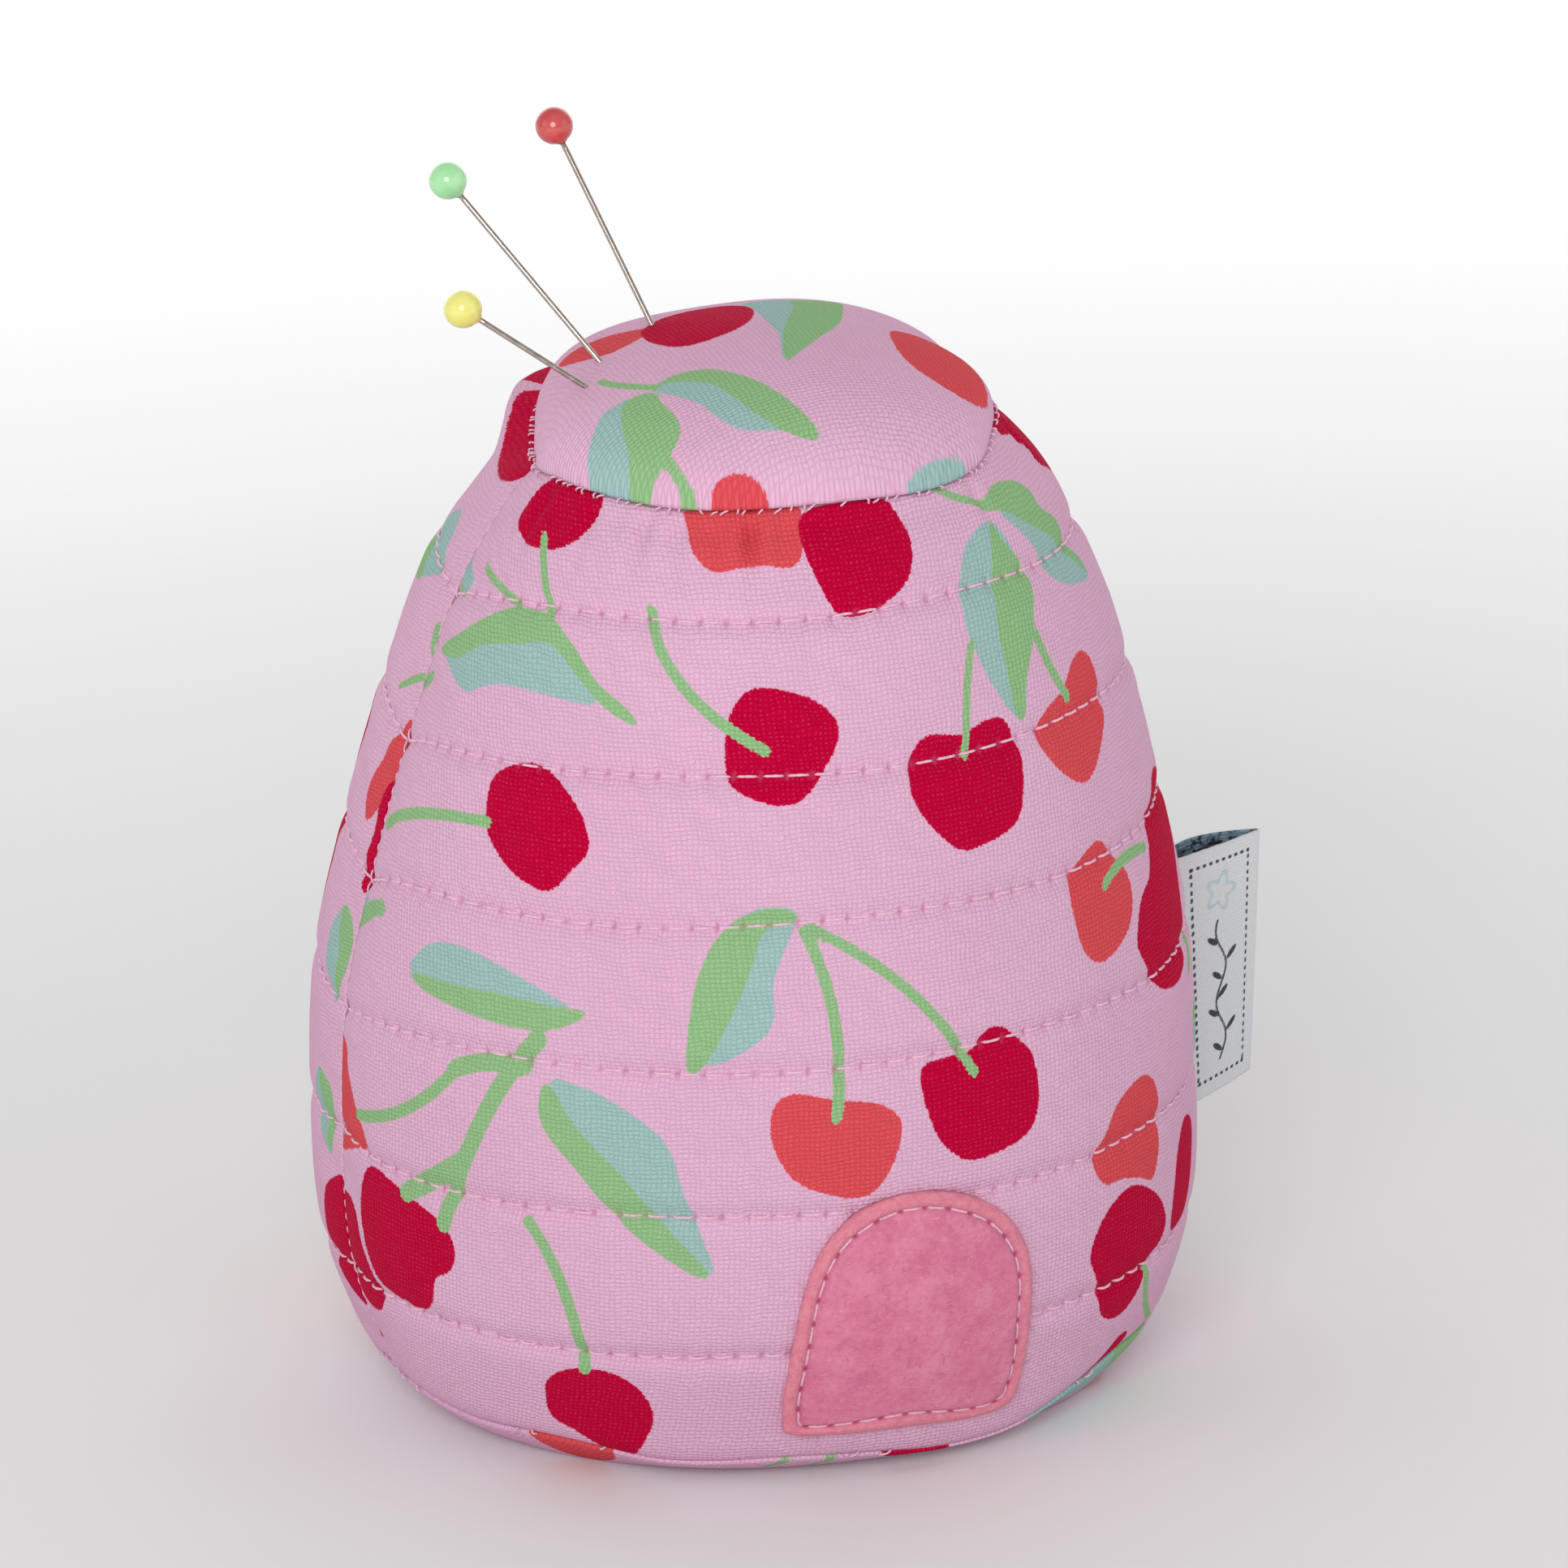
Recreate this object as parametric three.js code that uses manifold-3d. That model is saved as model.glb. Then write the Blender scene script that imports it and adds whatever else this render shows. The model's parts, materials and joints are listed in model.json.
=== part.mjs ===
// A beehive pin cushion: two quilted side panels, a domed top, a flat base, wadding, stuffing,
// a felt door, a folded side label, the sewing threads and three ball-headed pins.
// Millimetres, +Z up. The door faces -Y, the side seams lie at -X and +X, the base rests on z = 0.
import * as THREE from 'three';
import { mergeVertices } from 'three/addons/utils/BufferGeometryUtils.js';
import Module from 'manifold-3d';

const wasm = await Module();
wasm.setup();

// ---- driving dimensions -------------------------------------------------------------------
const WIDEST_RADIUS = 47.5;
const BASE_SEAM_HEIGHT = 4;
const TOP_SEAM_HEIGHT = 101;
const DOME_RISE = 12.5;
const FOOT_RADIUS = 37;
const ROW_HEIGHTS = [16, 31.5, 47, 61.5, 76, 91];
// body radius at the base seam, at each quilting row and at the top seam, as shares of the widest
const RADIUS_SHARES = [0.89, 0.98, 1, 0.983, 0.914, 0.829, 0.709, 0.571];
const LEAN = new THREE.Vector2(0.026, -0.009); // sideways drift per millimetre of height
const PUFF = 0.75; // the quilted bands swell and the rows sink by this much

const FABRIC = 0.8;
const CLEAR = 0.3; // gap between pieces that touch in the real cushion
const WADDING = 3;
const THREAD_RADIUS = 0.3;
const SEAM_GAP = 2 * (THREAD_RADIUS + CLEAR);
const FELT = 1.2;
const SEGMENTS = 32;
const WALL_STEPS = 8; // heights along a smooth wall
const DOME_STEPS = 9;
const FAR = 2 * WIDEST_RADIUS; // beyond every piece of the body

// ---- the body's outline -------------------------------------------------------------------
const SEAM_AND_ROW_HEIGHTS = [BASE_SEAM_HEIGHT, ...ROW_HEIGHTS, TOP_SEAM_HEIGHT];

const outlineCurve = new THREE.SplineCurve(
  SEAM_AND_ROW_HEIGHTS.map((z, i) => new THREE.Vector2(WIDEST_RADIUS * RADIUS_SHARES[i], z)),
);

// smooth body radius at a height between the base seam and the top seam
function bodyRadius(z) {
  const last = SEAM_AND_ROW_HEIGHTS.length - 1;
  let i = 0;
  while (i < last - 1 && z > SEAM_AND_ROW_HEIGHTS[i + 1]) {
    i += 1;
  }
  const span = SEAM_AND_ROW_HEIGHTS[i + 1] - SEAM_AND_ROW_HEIGHTS[i];
  const share = (z - SEAM_AND_ROW_HEIGHTS[i]) / span;
  return outlineCurve.getPoint((i + share) / last).x;
}

function heightsBetween(low, high, count) {
  return Array.from({ length: count + 1 }, (_, i) => low + (high - low) * i / count);
}

// smooth wall line, set in from the body radius by a depth (negative stands outside it)
function wallLine(depth, low, high, count) {
  return heightsBetween(low, high, count).map((z) => new THREE.Vector2(bodyRadius(z) - depth, z));
}

// quilted wall line: sunk at each row, swollen half-way between two rows
function quiltedLine(low, high) {
  const stops = [low, ...ROW_HEIGHTS, high];
  const line = [];
  stops.slice(0, -1).forEach((from, i) => {
    const to = stops[i + 1];
    for (const share of [0, 0.3, 0.7]) {
      const z = from + (to - from) * share;
      const swell = share === 0 ? -PUFF : PUFF;
      line.push(new THREE.Vector2(bodyRadius(z) + swell, z));
    }
  });
  line.push(new THREE.Vector2(bodyRadius(high) - PUFF, high));
  return line;
}

// dome line from the top seam to the axis, set in by a depth
function domeLine(depth, startHeight, steps) {
  const rim = bodyRadius(TOP_SEAM_HEIGHT) - depth;
  const crown = TOP_SEAM_HEIGHT + DOME_RISE - depth;
  return Array.from({ length: steps + 1 }, (_, i) => {
    const turn = (Math.PI / 2) * i / steps;
    const radius = i === steps ? 0 : rim * Math.cos(turn);
    return new THREE.Vector2(radius, startHeight + (crown - startHeight) * Math.sin(turn));
  });
}

// ---- geometry helpers ---------------------------------------------------------------------
function toSolid(geometry) {
  geometry.deleteAttribute('normal');
  geometry.deleteAttribute('uv');
  const merged = mergeVertices(geometry, 1e-4);
  return new wasm.Manifold(new wasm.Mesh({
    numProp: 3,
    vertProperties: new Float32Array(merged.attributes.position.array),
    triVerts: new Uint32Array(merged.index.array),
  }));
}

function toGeometry(solid) {
  const mesh = solid.getMesh();
  const geometry = new THREE.BufferGeometry();
  geometry.setAttribute('position', new THREE.BufferAttribute(new Float32Array(mesh.vertProperties), 3));
  geometry.setIndex(new THREE.BufferAttribute(new Uint32Array(mesh.triVerts), 1));
  geometry.computeVertexNormals();
  return geometry;
}

// turns a radius-height outline about +Z; the outline runs anticlockwise
function turned(outline, segments = SEGMENTS) {
  return new THREE.LatheGeometry(outline, segments).rotateX(Math.PI / 2);
}

// closed wall between an outer line and an inner line, both given bottom to top
function wallRing(outer, inner) {
  return toSolid(turned([...outer, ...[...inner].reverse(), outer[0].clone()]));
}

function block(low, high) {
  const size = new THREE.Vector3().subVectors(high, low);
  const centre = new THREE.Vector3().addVectors(low, high).multiplyScalar(0.5);
  const box = new THREE.BoxGeometry(size.x, size.y, size.z);
  return toSolid(box.translate(centre.x, centre.y, centre.z));
}

// everything from nearY outward on the front (side -1) or the back (side 1)
function slab(side, nearY, farY) {
  const ys = [side * nearY, side * farY].sort((a, b) => a - b);
  return block(new THREE.Vector3(-FAR, ys[0], -FAR), new THREE.Vector3(FAR, ys[1], 2 * FAR));
}

function lean(geometry) {
  const shear = new THREE.Matrix4().set(1, 0, LEAN.x, 0, 0, 1, LEAN.y, 0, 0, 0, 1, 0, 0, 0, 0, 1);
  return geometry.applyMatrix4(shear);
}

function leaned(point) {
  return new THREE.Vector3(point.x + LEAN.x * point.z, point.y + LEAN.y * point.z, point.z);
}

function thread(curve, steps) {
  const section = new THREE.Shape().absarc(0, 0, THREAD_RADIUS, 0, 2 * Math.PI, false);
  const settings = { extrudePath: curve, steps, bevelEnabled: false, curveSegments: 3 };
  return new THREE.ExtrudeGeometry(section, settings);
}

// ---- pieces -------------------------------------------------------------------------------
const PANEL_LOW = BASE_SEAM_HEIGHT + SEAM_GAP / 2;
const PANEL_HIGH = TOP_SEAM_HEIGHT - SEAM_GAP / 2;
const WADDING_DEPTH = PUFF + FABRIC + CLEAR;
const STUFFING_DEPTH = WADDING_DEPTH + WADDING + CLEAR;
const FIN_DEPTH = WADDING_DEPTH + WADDING;

// half of the quilted wall, with its two seam allowances turned inward
function sidePanel(side) {
  const outer = quiltedLine(PANEL_LOW, PANEL_HIGH);
  const skin = wallRing(outer, outer.map((p) => new THREE.Vector2(p.x - FABRIC, p.y)));
  const thick = wallRing(outer, wallLine(FIN_DEPTH, PANEL_LOW, PANEL_HIGH, WALL_STEPS));
  const edge = SEAM_GAP / 2;
  const wall = skin.intersect(slab(side, edge, FAR));
  const allowances = thick.intersect(slab(side, edge, edge + FABRIC));
  return lean(toGeometry(wall.add(allowances)));
}

function sideWadding(side) {
  const low = PANEL_LOW + FABRIC;
  const high = PANEL_HIGH - FABRIC;
  const outer = wallLine(WADDING_DEPTH, low, high, WALL_STEPS);
  const inner = wallLine(WADDING_DEPTH + WADDING, low, high, WALL_STEPS);
  const edge = SEAM_GAP / 2 + FABRIC + CLEAR;
  return lean(toGeometry(wallRing(outer, inner).intersect(slab(side, edge, FAR))));
}

// where the base's rounded edge bulges most, as shares of its width and its height
const BASE_BULGE = { out: 0.7, up: 0.4 };

function basePanel() {
  const rimHeight = BASE_SEAM_HEIGHT - SEAM_GAP / 2;
  const rim = bodyRadius(BASE_SEAM_HEIGHT) - PUFF;
  const outline = [
    new THREE.Vector2(0, 0),
    new THREE.Vector2(FOOT_RADIUS, 0),
    new THREE.Vector2(FOOT_RADIUS + BASE_BULGE.out * (rim - FOOT_RADIUS), BASE_BULGE.up * rimHeight),
    new THREE.Vector2(rim, rimHeight),
    new THREE.Vector2(rim - FABRIC, rimHeight),
    new THREE.Vector2(FOOT_RADIUS, FABRIC),
    new THREE.Vector2(0, FABRIC),
  ];
  return lean(turned(outline));
}

function stuffingBody() {
  const low = FABRIC + CLEAR;
  const wallTop = TOP_SEAM_HEIGHT - SEAM_GAP / 2;
  const outline = [
    new THREE.Vector2(0, low),
    new THREE.Vector2(FOOT_RADIUS - FABRIC, low),
    ...wallLine(STUFFING_DEPTH, BASE_SEAM_HEIGHT + SEAM_GAP, wallTop, WALL_STEPS),
    ...domeLine(WADDING_DEPTH + SEAM_GAP, TOP_SEAM_HEIGHT, DOME_STEPS),
  ];
  return toSolid(lean(turned(outline)));
}

function topPanelBody() {
  const rimHeight = TOP_SEAM_HEIGHT + SEAM_GAP / 2;
  const outer = domeLine(0, rimHeight, DOME_STEPS);
  const inner = domeLine(FABRIC, rimHeight, DOME_STEPS);
  const outline = [...outer, ...[...inner].reverse(), outer[0].clone()];
  return toSolid(lean(turned(outline)));
}

function quiltingThread(side, height) {
  const radius = bodyRadius(height) - PUFF + CLEAR + THREAD_RADIUS;
  const edgeAngle = (SEAM_GAP + FABRIC) / radius;
  const start = side < 0 ? -Math.PI + edgeAngle : edgeAngle;
  const steps = 16;
  const points = Array.from({ length: steps + 1 }, (_, i) => {
    const angle = start + (Math.PI - 2 * edgeAngle) * i / steps;
    return new THREE.Vector3(radius * Math.cos(angle), radius * Math.sin(angle), height);
  });
  return lean(thread(new THREE.CatmullRomCurve3(points), steps));
}

function sideSeamThread(side) {
  const depth = PUFF + SEAM_GAP + THREAD_RADIUS;
  const points = wallLine(depth, PANEL_LOW + SEAM_GAP, PANEL_HIGH - SEAM_GAP, 12)
    .map((p) => new THREE.Vector3(side * p.x, 0, p.y));
  return lean(thread(new THREE.CatmullRomCurve3(points), 24));
}

function ringThread(height) {
  const radius = bodyRadius(height) - PUFF - FABRIC / 2;
  return lean(new THREE.TorusGeometry(radius, THREAD_RADIUS, 6, SEGMENTS).translate(0, 0, height));
}

// ---- felt door ----------------------------------------------------------------------------
const DOOR = { halfWidth: 13.5, low: 5.6, spring: 18.5, high: 33, corner: 1.6, stitchInset: 1.8 };

// arched outline, run from just right of the bottom middle round to just left of it
function doorOutline(inset) {
  const half = DOOR.halfWidth - inset;
  const low = DOOR.low + inset;
  const shape = new THREE.Shape();
  shape.moveTo(CLEAR, low);
  shape.lineTo(half - DOOR.corner, low);
  shape.quadraticCurveTo(half, low, half, low + DOOR.corner);
  shape.lineTo(half, DOOR.spring);
  shape.absellipse(0, DOOR.spring, half, DOOR.high - DOOR.spring - inset, 0, Math.PI, false, 0);
  shape.lineTo(-half, low + DOOR.corner);
  shape.quadraticCurveTo(-half, low, DOOR.corner - half, low);
  shape.lineTo(-CLEAR, low);
  return shape;
}

function doorPatch() {
  const low = BASE_SEAM_HEIGHT + SEAM_GAP;
  const high = DOOR.high + FELT;
  const inner = -PUFF - CLEAR;
  const outerLine = wallLine(inner - FELT, low, high, WALL_STEPS);
  const shell = wallRing(outerLine, wallLine(inner, low, high, WALL_STEPS));
  const settings = { depth: FAR, bevelEnabled: false, curveSegments: 8 };
  const prism = new THREE.ExtrudeGeometry(doorOutline(0), settings).rotateX(Math.PI / 2);
  return lean(toGeometry(shell.intersect(toSolid(prism))));
}

function doorStitching() {
  const lift = PUFF + CLEAR + FELT + CLEAR + THREAD_RADIUS;
  const points = doorOutline(DOOR.stitchInset).getSpacedPoints(48).map((p) => {
    const radius = bodyRadius(p.y) + lift;
    return new THREE.Vector3(p.x, -Math.sqrt(radius * radius - p.x * p.x), p.y);
  });
  return lean(thread(new THREE.CatmullRomCurve3(points), 72));
}

// ---- side label ---------------------------------------------------------------------------
const LABEL = { low: 19, high: 47.5, reach: 14, tape: 0.45, parting: 0.5, bend: 30 };
const LABEL_HALF = LABEL.tape + LABEL.parting / 2; // half the folded thickness
const LABEL_STAND_OFF = PUFF + CLEAR + 1.6 * LABEL_HALF; // keeps the turned root off the panel

// folded tape: a narrow loop seen from above, its fold away from the body
function sideLabel() {
  const half = LABEL_HALF;
  const straight = LABEL.reach - half;
  const loop = new THREE.Shape();
  loop.moveTo(0, -half);
  loop.lineTo(straight, -half);
  loop.absarc(straight, 0, half, -Math.PI / 2, Math.PI / 2, false);
  loop.lineTo(0, half);
  loop.lineTo(0, LABEL.parting / 2);
  loop.lineTo(straight, LABEL.parting / 2);
  loop.absarc(straight, 0, LABEL.parting / 2, Math.PI / 2, -Math.PI / 2, true);
  loop.lineTo(0, -LABEL.parting / 2);
  const lowPoint = leaned(new THREE.Vector3(bodyRadius(LABEL.low), 0, LABEL.low));
  const highPoint = leaned(new THREE.Vector3(bodyRadius(LABEL.high), 0, LABEL.high));
  const seamLine = new THREE.Vector3().subVectors(highPoint, lowPoint);
  const settings = { depth: seamLine.length(), bevelEnabled: false, curveSegments: 6 };
  const geometry = new THREE.ExtrudeGeometry(loop, settings);
  geometry.rotateZ(THREE.MathUtils.degToRad(LABEL.bend));
  const tilt = new THREE.Quaternion().setFromUnitVectors(new THREE.Vector3(0, 0, 1), seamLine.normalize());
  geometry.applyQuaternion(tilt);
  return geometry.translate(lowPoint.x + LABEL_STAND_OFF, lowPoint.y, lowPoint.z);
}

// ---- pins ---------------------------------------------------------------------------------
const PIN = { length: 36, shaftRadius: 0.3, headRadius: 2, tipLength: 3, headHole: 0.6, holeDepth: 2.6 };
const PIN_SEGMENTS = 10;

const point = (x, y, z) => new THREE.Vector3(x, y, z);

// where each pin enters the top, the direction its head points, and how far the head stands out
const PINS = {
  red: { entry: point(-5.8, 5.1, 112.3), towardHead: point(-5.8, 12.1, 19.8), out: 23.9 },
  green: { entry: point(-13.4, 1.4, 110.9), towardHead: point(-11.6, 11.4, 17.9), out: 24.2 },
  yellow: { entry: point(-16.5, -3.7, 109.5), towardHead: point(-11.7, 3.9, 8.9), out: 15.2 },
};

// places a piece made along +Z, with the head centre at z = 0, onto its pin
function placedOnPin(geometry, pin) {
  const direction = pin.towardHead.clone().normalize();
  geometry.applyQuaternion(new THREE.Quaternion().setFromUnitVectors(point(0, 0, 1), direction));
  const head = pin.entry.clone().addScaledVector(direction, pin.out);
  return geometry.translate(head.x, head.y, head.z);
}

function pinShaft(pin) {
  const outline = [
    new THREE.Vector2(0, -PIN.length),
    new THREE.Vector2(PIN.shaftRadius, PIN.tipLength - PIN.length),
    new THREE.Vector2(PIN.shaftRadius, 0),
    new THREE.Vector2(0, 0),
  ];
  return placedOnPin(turned(outline, PIN_SEGMENTS), pin);
}

function pinHead(pin) {
  const ball = toSolid(new THREE.SphereGeometry(PIN.headRadius, 16, 12).rotateX(Math.PI / 2));
  const hole = new THREE.CylinderGeometry(PIN.headHole, PIN.headHole, PIN.holeDepth, PIN_SEGMENTS);
  hole.rotateX(Math.PI / 2).translate(0, 0, CLEAR - PIN.holeDepth / 2);
  return placedOnPin(toGeometry(ball.subtract(toSolid(hole))), pin);
}

// clearance channel through the top and the stuffing, deep enough for the pin pushed home
function pinChannel(pin) {
  const radius = PIN.shaftRadius + CLEAR;
  const top = -pin.out + 2 * PIN.headRadius;
  const bottom = -pin.out - PIN.length + PIN.headRadius;
  const channel = new THREE.CylinderGeometry(radius, radius, top - bottom, PIN_SEGMENTS);
  channel.rotateX(Math.PI / 2).translate(0, 0, (top + bottom) / 2);
  return toSolid(placedOnPin(channel, pin));
}

function pierced(solid) {
  const channels = Object.values(PINS).map(pinChannel);
  return toGeometry(channels.reduce((body, channel) => body.subtract(channel), solid));
}

// ---- assembly -----------------------------------------------------------------------------
const FINISHES = {
  print: { color: '#e0b5d0', roughness: 0.9 },
  wadding: { color: '#efece4', roughness: 1 },
  stuffing: { color: '#f4f3ee', roughness: 1 },
  felt: { color: '#da7f9b', roughness: 1 },
  thread: { color: '#e1b4cd', roughness: 0.7 },
  tape: { color: '#bac1c4', roughness: 0.8 },
  steel: { color: '#c4c6c9', roughness: 0.3, metalness: 0.9 },
  redHead: { color: '#c94e4e', roughness: 0.2 },
  greenHead: { color: '#a9e0a7', roughness: 0.2 },
  yellowHead: { color: '#e8e27c', roughness: 0.2 },
};

const cushion = new THREE.Group();

function addPiece(name, geometry, finish) {
  const material = new THREE.MeshStandardMaterial({ metalness: 0, ...FINISHES[finish] });
  const mesh = new THREE.Mesh(geometry, material);
  mesh.name = name;
  cushion.add(mesh);
}

const FRONT = -1;
const BACK = 1;
addPiece('front_panel', sidePanel(FRONT), 'print');
addPiece('back_panel', sidePanel(BACK), 'print');
addPiece('top_panel', pierced(topPanelBody()), 'print');
addPiece('base_panel', basePanel(), 'print');
addPiece('front_wadding', sideWadding(FRONT), 'wadding');
addPiece('back_wadding', sideWadding(BACK), 'wadding');
addPiece('stuffing', pierced(stuffingBody()), 'stuffing');
addPiece('door_patch', doorPatch(), 'felt');
addPiece('door_stitching', doorStitching(), 'thread');
addPiece('side_label', sideLabel(), 'tape');
addPiece('left_seam_thread', sideSeamThread(-1), 'thread');
addPiece('right_seam_thread', sideSeamThread(1), 'thread');
addPiece('top_seam_thread', ringThread(TOP_SEAM_HEIGHT), 'thread');
addPiece('base_seam_thread', ringThread(BASE_SEAM_HEIGHT), 'thread');
ROW_HEIGHTS.forEach((height, i) => {
  addPiece(`front_quilting_${i + 1}`, quiltingThread(FRONT, height), 'thread');
  addPiece(`back_quilting_${i + 1}`, quiltingThread(BACK, height), 'thread');
});
for (const [colour, pin] of Object.entries(PINS)) {
  addPiece(`${colour}_pin_shaft`, pinShaft(pin), 'steel');
  addPiece(`${colour}_pin_head`, pinHead(pin), `${colour}Head`);
}

export default cushion;
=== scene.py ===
import json
import math
import random

import bpy
import numpy as np
from mathutils import Matrix, Vector


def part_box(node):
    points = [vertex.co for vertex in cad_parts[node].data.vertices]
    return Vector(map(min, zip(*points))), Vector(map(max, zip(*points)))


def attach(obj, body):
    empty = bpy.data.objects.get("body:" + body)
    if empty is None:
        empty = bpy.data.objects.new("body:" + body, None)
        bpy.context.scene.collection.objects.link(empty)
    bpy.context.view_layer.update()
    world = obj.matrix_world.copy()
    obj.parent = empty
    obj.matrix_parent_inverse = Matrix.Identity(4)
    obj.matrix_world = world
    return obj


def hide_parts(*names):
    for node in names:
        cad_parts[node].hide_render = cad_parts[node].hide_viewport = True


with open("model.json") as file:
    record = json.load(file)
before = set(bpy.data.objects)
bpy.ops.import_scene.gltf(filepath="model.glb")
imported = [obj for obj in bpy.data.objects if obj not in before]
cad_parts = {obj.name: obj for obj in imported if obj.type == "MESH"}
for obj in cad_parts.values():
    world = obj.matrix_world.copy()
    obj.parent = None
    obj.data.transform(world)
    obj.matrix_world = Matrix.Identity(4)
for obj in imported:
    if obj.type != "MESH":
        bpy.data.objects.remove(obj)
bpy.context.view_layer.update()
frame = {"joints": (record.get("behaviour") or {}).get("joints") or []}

# A beehive pin cushion: quilted cherry-print cotton over wadding and stuffing, a felt door,
# a folded side label, sewing threads and ball-headed pins. Metres; the door faces -Y.

MM = 0.001
BODY = "cushion"
ROW_COUNT = 6

# ---- sizes read from the frame --------------------------------------------------------------


def box_middle(node):
    low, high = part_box(node)
    return [(low[i] + high[i]) / 2 for i in range(3)]


def half_width(node):
    low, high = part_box(node)
    return (high[0] - low[0]) / 2


THREAD_OUTSIDE = 0.15 * MM  # the plain row threads reach this far past the smooth body
RING_INSIDE = 0.85 * MM  # the plain seam rings stop this far inside it

ROW_NODES = [f"front_quilting_{i + 1}" for i in range(ROW_COUNT)]
ROW_HEIGHTS = [box_middle(node)[2] for node in ROW_NODES]
BASE_SEAM_HEIGHT = box_middle("base_seam_thread")[2]
TOP_SEAM_HEIGHT = box_middle("top_seam_thread")[2]
CROWN_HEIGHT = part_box("top_panel")[1][2]
BASE_SEAM_RADIUS = half_width("base_seam_thread") + RING_INSIDE
TOP_SEAM_RADIUS = half_width("top_seam_thread") + RING_INSIDE
FOOT_RADIUS = 0.88 * BASE_SEAM_RADIUS

LINE_HEIGHTS = [BASE_SEAM_HEIGHT, *ROW_HEIGHTS, TOP_SEAM_HEIGHT]
LINE_RADII = [
    BASE_SEAM_RADIUS,
    *[half_width(node) - THREAD_OUTSIDE for node in ROW_NODES],
    TOP_SEAM_RADIUS,
]
TOP_CENTRE = box_middle("top_seam_thread")
BASE_CENTRE = box_middle("base_seam_thread")
LEAN = [
    (TOP_CENTRE[i] - BASE_CENTRE[i]) / (TOP_SEAM_HEIGHT - BASE_SEAM_HEIGHT) for i in range(2)
]

# how far each line is drawn down where it runs into a side seam, base seam first
KINK_DROPS = [0, -0.5 * MM, -0.7 * MM, 1.8 * MM, 2.8 * MM, 2.8 * MM, 2.6 * MM, 0]
KINK_REACH = math.radians(9)
SEAM_REACH = 4.5 * MM
PUFF_HEIGHT = 0.8 * MM
CLOTH_THICKNESS = 0.5 * MM
TURN_IN = 3 * MM  # how much cloth is folded inwards at a seam

# how far the two round seams stray from level, as (degrees round from the door, distance)
TOP_SEAM_WANDER = [(-180, 3.0), (-150, 3.4), (-135, 3.0), (-120, 1.6), (-105, 0.5), (-90, 0.4), (-72, 0.8),
                   (-60, 0.5), (-40, -0.2), (0, -0.2), (25, -0.6), (40, 0), (52, 1.6), (90, 2.0),
                   (130, 1.4), (180, 3.0)]
BASE_SEAM_WANDER = [(-180, 0), (-120, 0.6), (-84, 0.9), (-66, 0), (-52, 0.2), (-45, -0.2), (-37, -1.1),
                    (-15, -1.0), (-6, -1.3), (8, -2.2), (20, -1.8), (30, 0.2), (38, 1.8), (50, 2.1),
                    (90, 0.8), (140, 0.3), (180, 0)]
# how far the top seam is drawn in towards the middle
TOP_SEAM_PULL = [(-180, 0), (-150, 0.4), (-135, 1.2), (-122, 2.4), (-112, 3.2), (-105, 3.2), (-97, 2.4),
                 (-88, 0.9), (-68, 0), (-50, 0), (60, 0), (90, 0.6), (125, 0), (180, 0)]
# how far the collar below the top seam stands out, and how far it rolls up behind that seam
COLLAR_BULGE = [(-180, 0.6), (-140, 0), (-118, -0.7), (-105, -0.7), (-90, 0), (-60, 0.2), (-20, 0),
                (20, 0.2), (45, 0.4), (70, 0.8), (110, 0.8), (180, 0.6)]
COLLAR_ROLL = [(-180, 0.9), (-160, 2.7), (-142, 3.1), (-124, 1.4), (-112, 0.4), (-96, 0.2), (-85, 0),
               (90, 0), (140, 0.3), (180, 0.8)]
# how much flatter the body is beside the label
SIDE_TRIM = [(-180, 0), (20, 0), (45, 0.6), (68, 1.3), (84, 0.9), (94, 0.3), (110, 0), (180, 0)]
SIDE_TRIM_TOP = 79 * MM

# ---- numbers that vary smoothly -------------------------------------------------------------


def smooth_through(stops, values, at):
    """Cubic curve through values at stops, read at many places; values may be grids."""
    stops = np.asarray(stops, float)
    values = np.asarray(values, float)
    at = np.asarray(at, float)
    slopes = np.gradient(values, stops, axis=0)
    i = np.clip(np.searchsorted(stops, at, side="right") - 1, 0, len(stops) - 2)
    span = stops[i + 1] - stops[i]
    t = (at - stops[i]) / span
    extra = (1,) * (values.ndim - 1)
    t = t.reshape(t.shape + extra)
    span = span.reshape(span.shape + extra)
    rise = (1 + 2 * t) * (1 - t) ** 2 * values[i] + t**2 * (3 - 2 * t) * values[i + 1]
    return rise + span * (t * (1 - t) ** 2 * slopes[i] - t**2 * (1 - t) * slopes[i + 1])


def body_radius(height):
    return smooth_through(LINE_HEIGHTS, LINE_RADII, height)


def seam_angle(angle):
    """Angle left between a direction and the nearer side seam."""
    return np.abs(math.pi / 2 - np.abs(wrapped(angle)))


def wandering(stops, angle):
    """A given list of (degrees, millimetres) read smoothly at any angle, in metres."""
    places = [math.radians(degrees) for degrees, _ in stops]
    return smooth_through(places, [value * MM for _, value in stops], wrapped(angle))


def wrapped(angle):
    return (angle + math.pi) % (2 * math.pi) - math.pi


def line_height(line, angle):
    """Height of a sewn line; the rows between the round seams kink as they meet a side seam."""
    if line == 0:
        return LINE_HEIGHTS[0] + wandering(BASE_SEAM_WANDER, angle)
    if line == len(LINE_HEIGHTS) - 1:
        return LINE_HEIGHTS[-1] + wandering(TOP_SEAM_WANDER, angle)
    kink = np.exp(-seam_angle(angle) / KINK_REACH)
    ripple = 0.2 * MM * np.sin(5 * angle + 2.1 * line) * (1 - kink)
    return LINE_HEIGHTS[line] - KINK_DROPS[line] * kink + ripple


def collar_share(angle, height):
    """0 at the highest quilted row and below, 1 at the top seam."""
    seam = TOP_SEAM_HEIGHT + wandering(TOP_SEAM_WANDER, angle)
    return np.clip((height - LINE_HEIGHTS[-2]) / (seam - LINE_HEIGHTS[-2]), 0, 1)


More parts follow.
